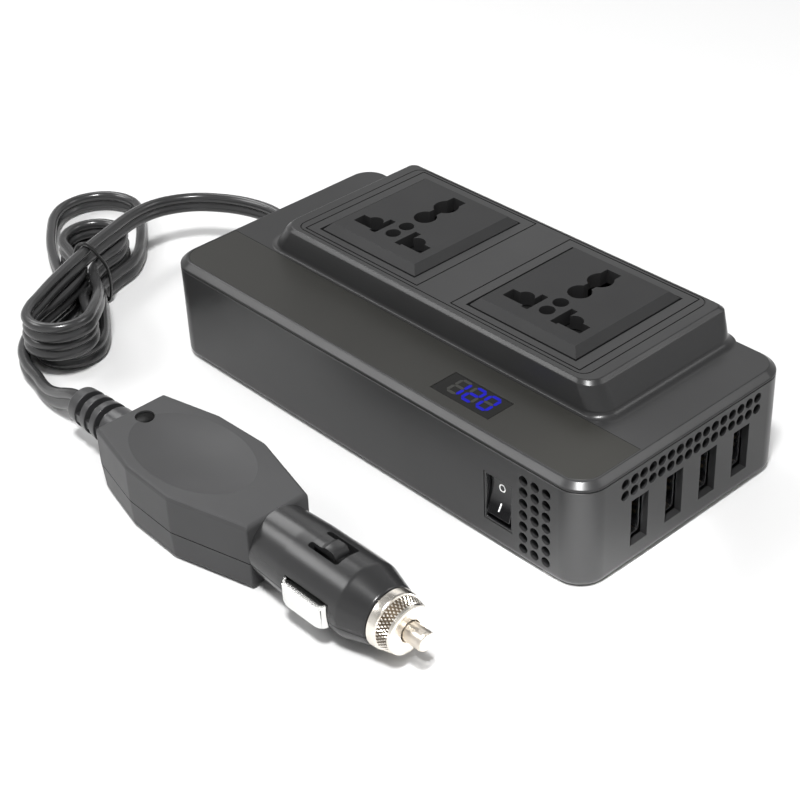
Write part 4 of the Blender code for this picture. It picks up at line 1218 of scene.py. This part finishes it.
def make_knurl():
    """Rows of small four-sided points round the nose cap."""
    bm = bmesh.new()
    around, rows, fill = 44, 4, 0.72
    length = KNURL_END - KNURL_START
    half_u = length / rows * fill
    for row in range(rows):
        x = KNURL_START + length * (row + 0.5) / rows
        radius = 7.35 - 0.6 * (x - KNURL_START) / length
        half_v = math.pi * radius / around * fill
        for k in range(around):
            angle = 2 * math.pi * (k + 0.5 * (row % 2)) / around
            outward = Vector((0.0, math.cos(angle), math.sin(angle)))
            sideways = Vector((0.0, -math.sin(angle), math.cos(angle)))
            base = Vector(plug_point(x, 0.0, 0.0)) + outward * (radius + 0.02)
            ahead = Vector((half_u, 0.0, 0.0)) - outward * 0.08
            corners = [base - ahead, base - sideways * half_v, base + ahead, base + sideways * half_v]
            tip = bm.verts.new((base + outward * 0.36) * MM)
            low = [bm.verts.new(corner * MM) for corner in corners]
            bm.faces.new(low)
            for i in range(4):
                bm.faces.new((low[i], low[(i + 1) % 4], tip))
    piece(raw("nose_knurl", bm), "plug_nickel", angle=20.0)


def make_tip_spring():
    """Coil behind the centre pin, resting on the fuse; the real coil shortens as the pin goes in, this one
    is built at one length.
    """
    turns, per_turn = 5, 24
    rings = []
    for i in range(turns * per_turn + 1):
        share = i / (turns * per_turn)
        around = 2 * math.pi * turns * share
        outward = Vector((0.0, math.cos(around), math.sin(around)))
        centre = Vector(plug_point(SPRING_START + (SPRING_END - SPRING_START) * share, 0.0, 0.0))
        centre += outward * SPRING_RADIUS
        ring = []
        for angle in full_turn(10):
            ahead = Vector((SPRING_WIRE * math.sin(angle), 0.0, 0.0))
            ring.append(centre + outward * SPRING_WIRE * math.cos(angle) + ahead)
        rings.append(ring)
    spring = loft("tip_coil", rings)
    piece(spring, "plug_steel", "plug_tip_spring", angle=50.0)
    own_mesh(spring)


def make_plug_relief():
    profile = [(0.0, 0.0), (0.0, 6.3), (5.0, 6.3)]
    for i in range(3):
        at, radius = 9.6 + i * 4.9, 6.25 - i * 0.2
        profile += [(at - 1.2, radius), (at - 1.15, radius - 2.2)]
        profile += [(at + 1.15, radius - 2.2), (at + 1.2, radius - 0.05)]
    profile += [(24.4, 5.5), (25.0, 4.9), (25.0, 0.0)]
    start = plug_point(-42.3, 0.0, 0.0)
    relief = turned("plug_cord_relief", rounded_profile(profile, 0.25, 3), start, (-1, 0, 0))
    join(relief, box("spine", plug_point(-65.0, -5.4, -1.3), plug_point(-47.0, 5.4, 1.3)))
    piece(relief, "relief_rubber", "plug_strain_relief", angle=50.0)


# Inside pieces that keep their CAD shape


def finish_cad_nodes():
    sides, pins = ("left", "right"), ("line", "neutral", "earth")
    finishes = {
        # Inner parts seen through openings take the darkened black: black plastic plus painted shade.
        "inner_plastic": (
            "display_module", "socket_left_body", "socket_right_body", "fan_frame", "fan_rotor",
        ),
        "contact_brass": tuple(f"socket_{side}_{pin}_contact" for side in sides for pin in pins),
        "board_laminate": ("usb_board", "main_board"),
        "winding_tape": ("transformer",),
        "capacitor_sleeve": ("capacitor_1", "capacitor_2"),
        "heat_sink_aluminium": ("heat_sink",),
        "fuse_glass": ("plug_fuse",),
    }
    for material, nodes in finishes.items():
        for node in nodes:
            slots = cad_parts[node].data.materials
            slots.clear()
            slots.append(MATERIALS[material])


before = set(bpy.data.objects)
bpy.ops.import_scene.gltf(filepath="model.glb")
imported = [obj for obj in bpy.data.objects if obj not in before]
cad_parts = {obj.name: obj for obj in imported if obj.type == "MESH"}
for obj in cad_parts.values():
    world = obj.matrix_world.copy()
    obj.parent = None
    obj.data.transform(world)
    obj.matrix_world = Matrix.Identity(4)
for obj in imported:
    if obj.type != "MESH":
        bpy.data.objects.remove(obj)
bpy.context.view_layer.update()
MATERIALS = make_materials()
make_camera()
cord, cord_path, cord_length = make_cord()
make_tie()
make_lights()
make_sky()
make_floor()
make_lower_case()
make_top_cover()
make_overlay()
make_display()
make_sockets()
make_switch()
make_usb()
make_gland()
make_underside()
make_plug_shells()
make_latch()
make_contacts()
make_nose()
make_tip_spring()
make_plug_relief()
finish_cad_nodes()
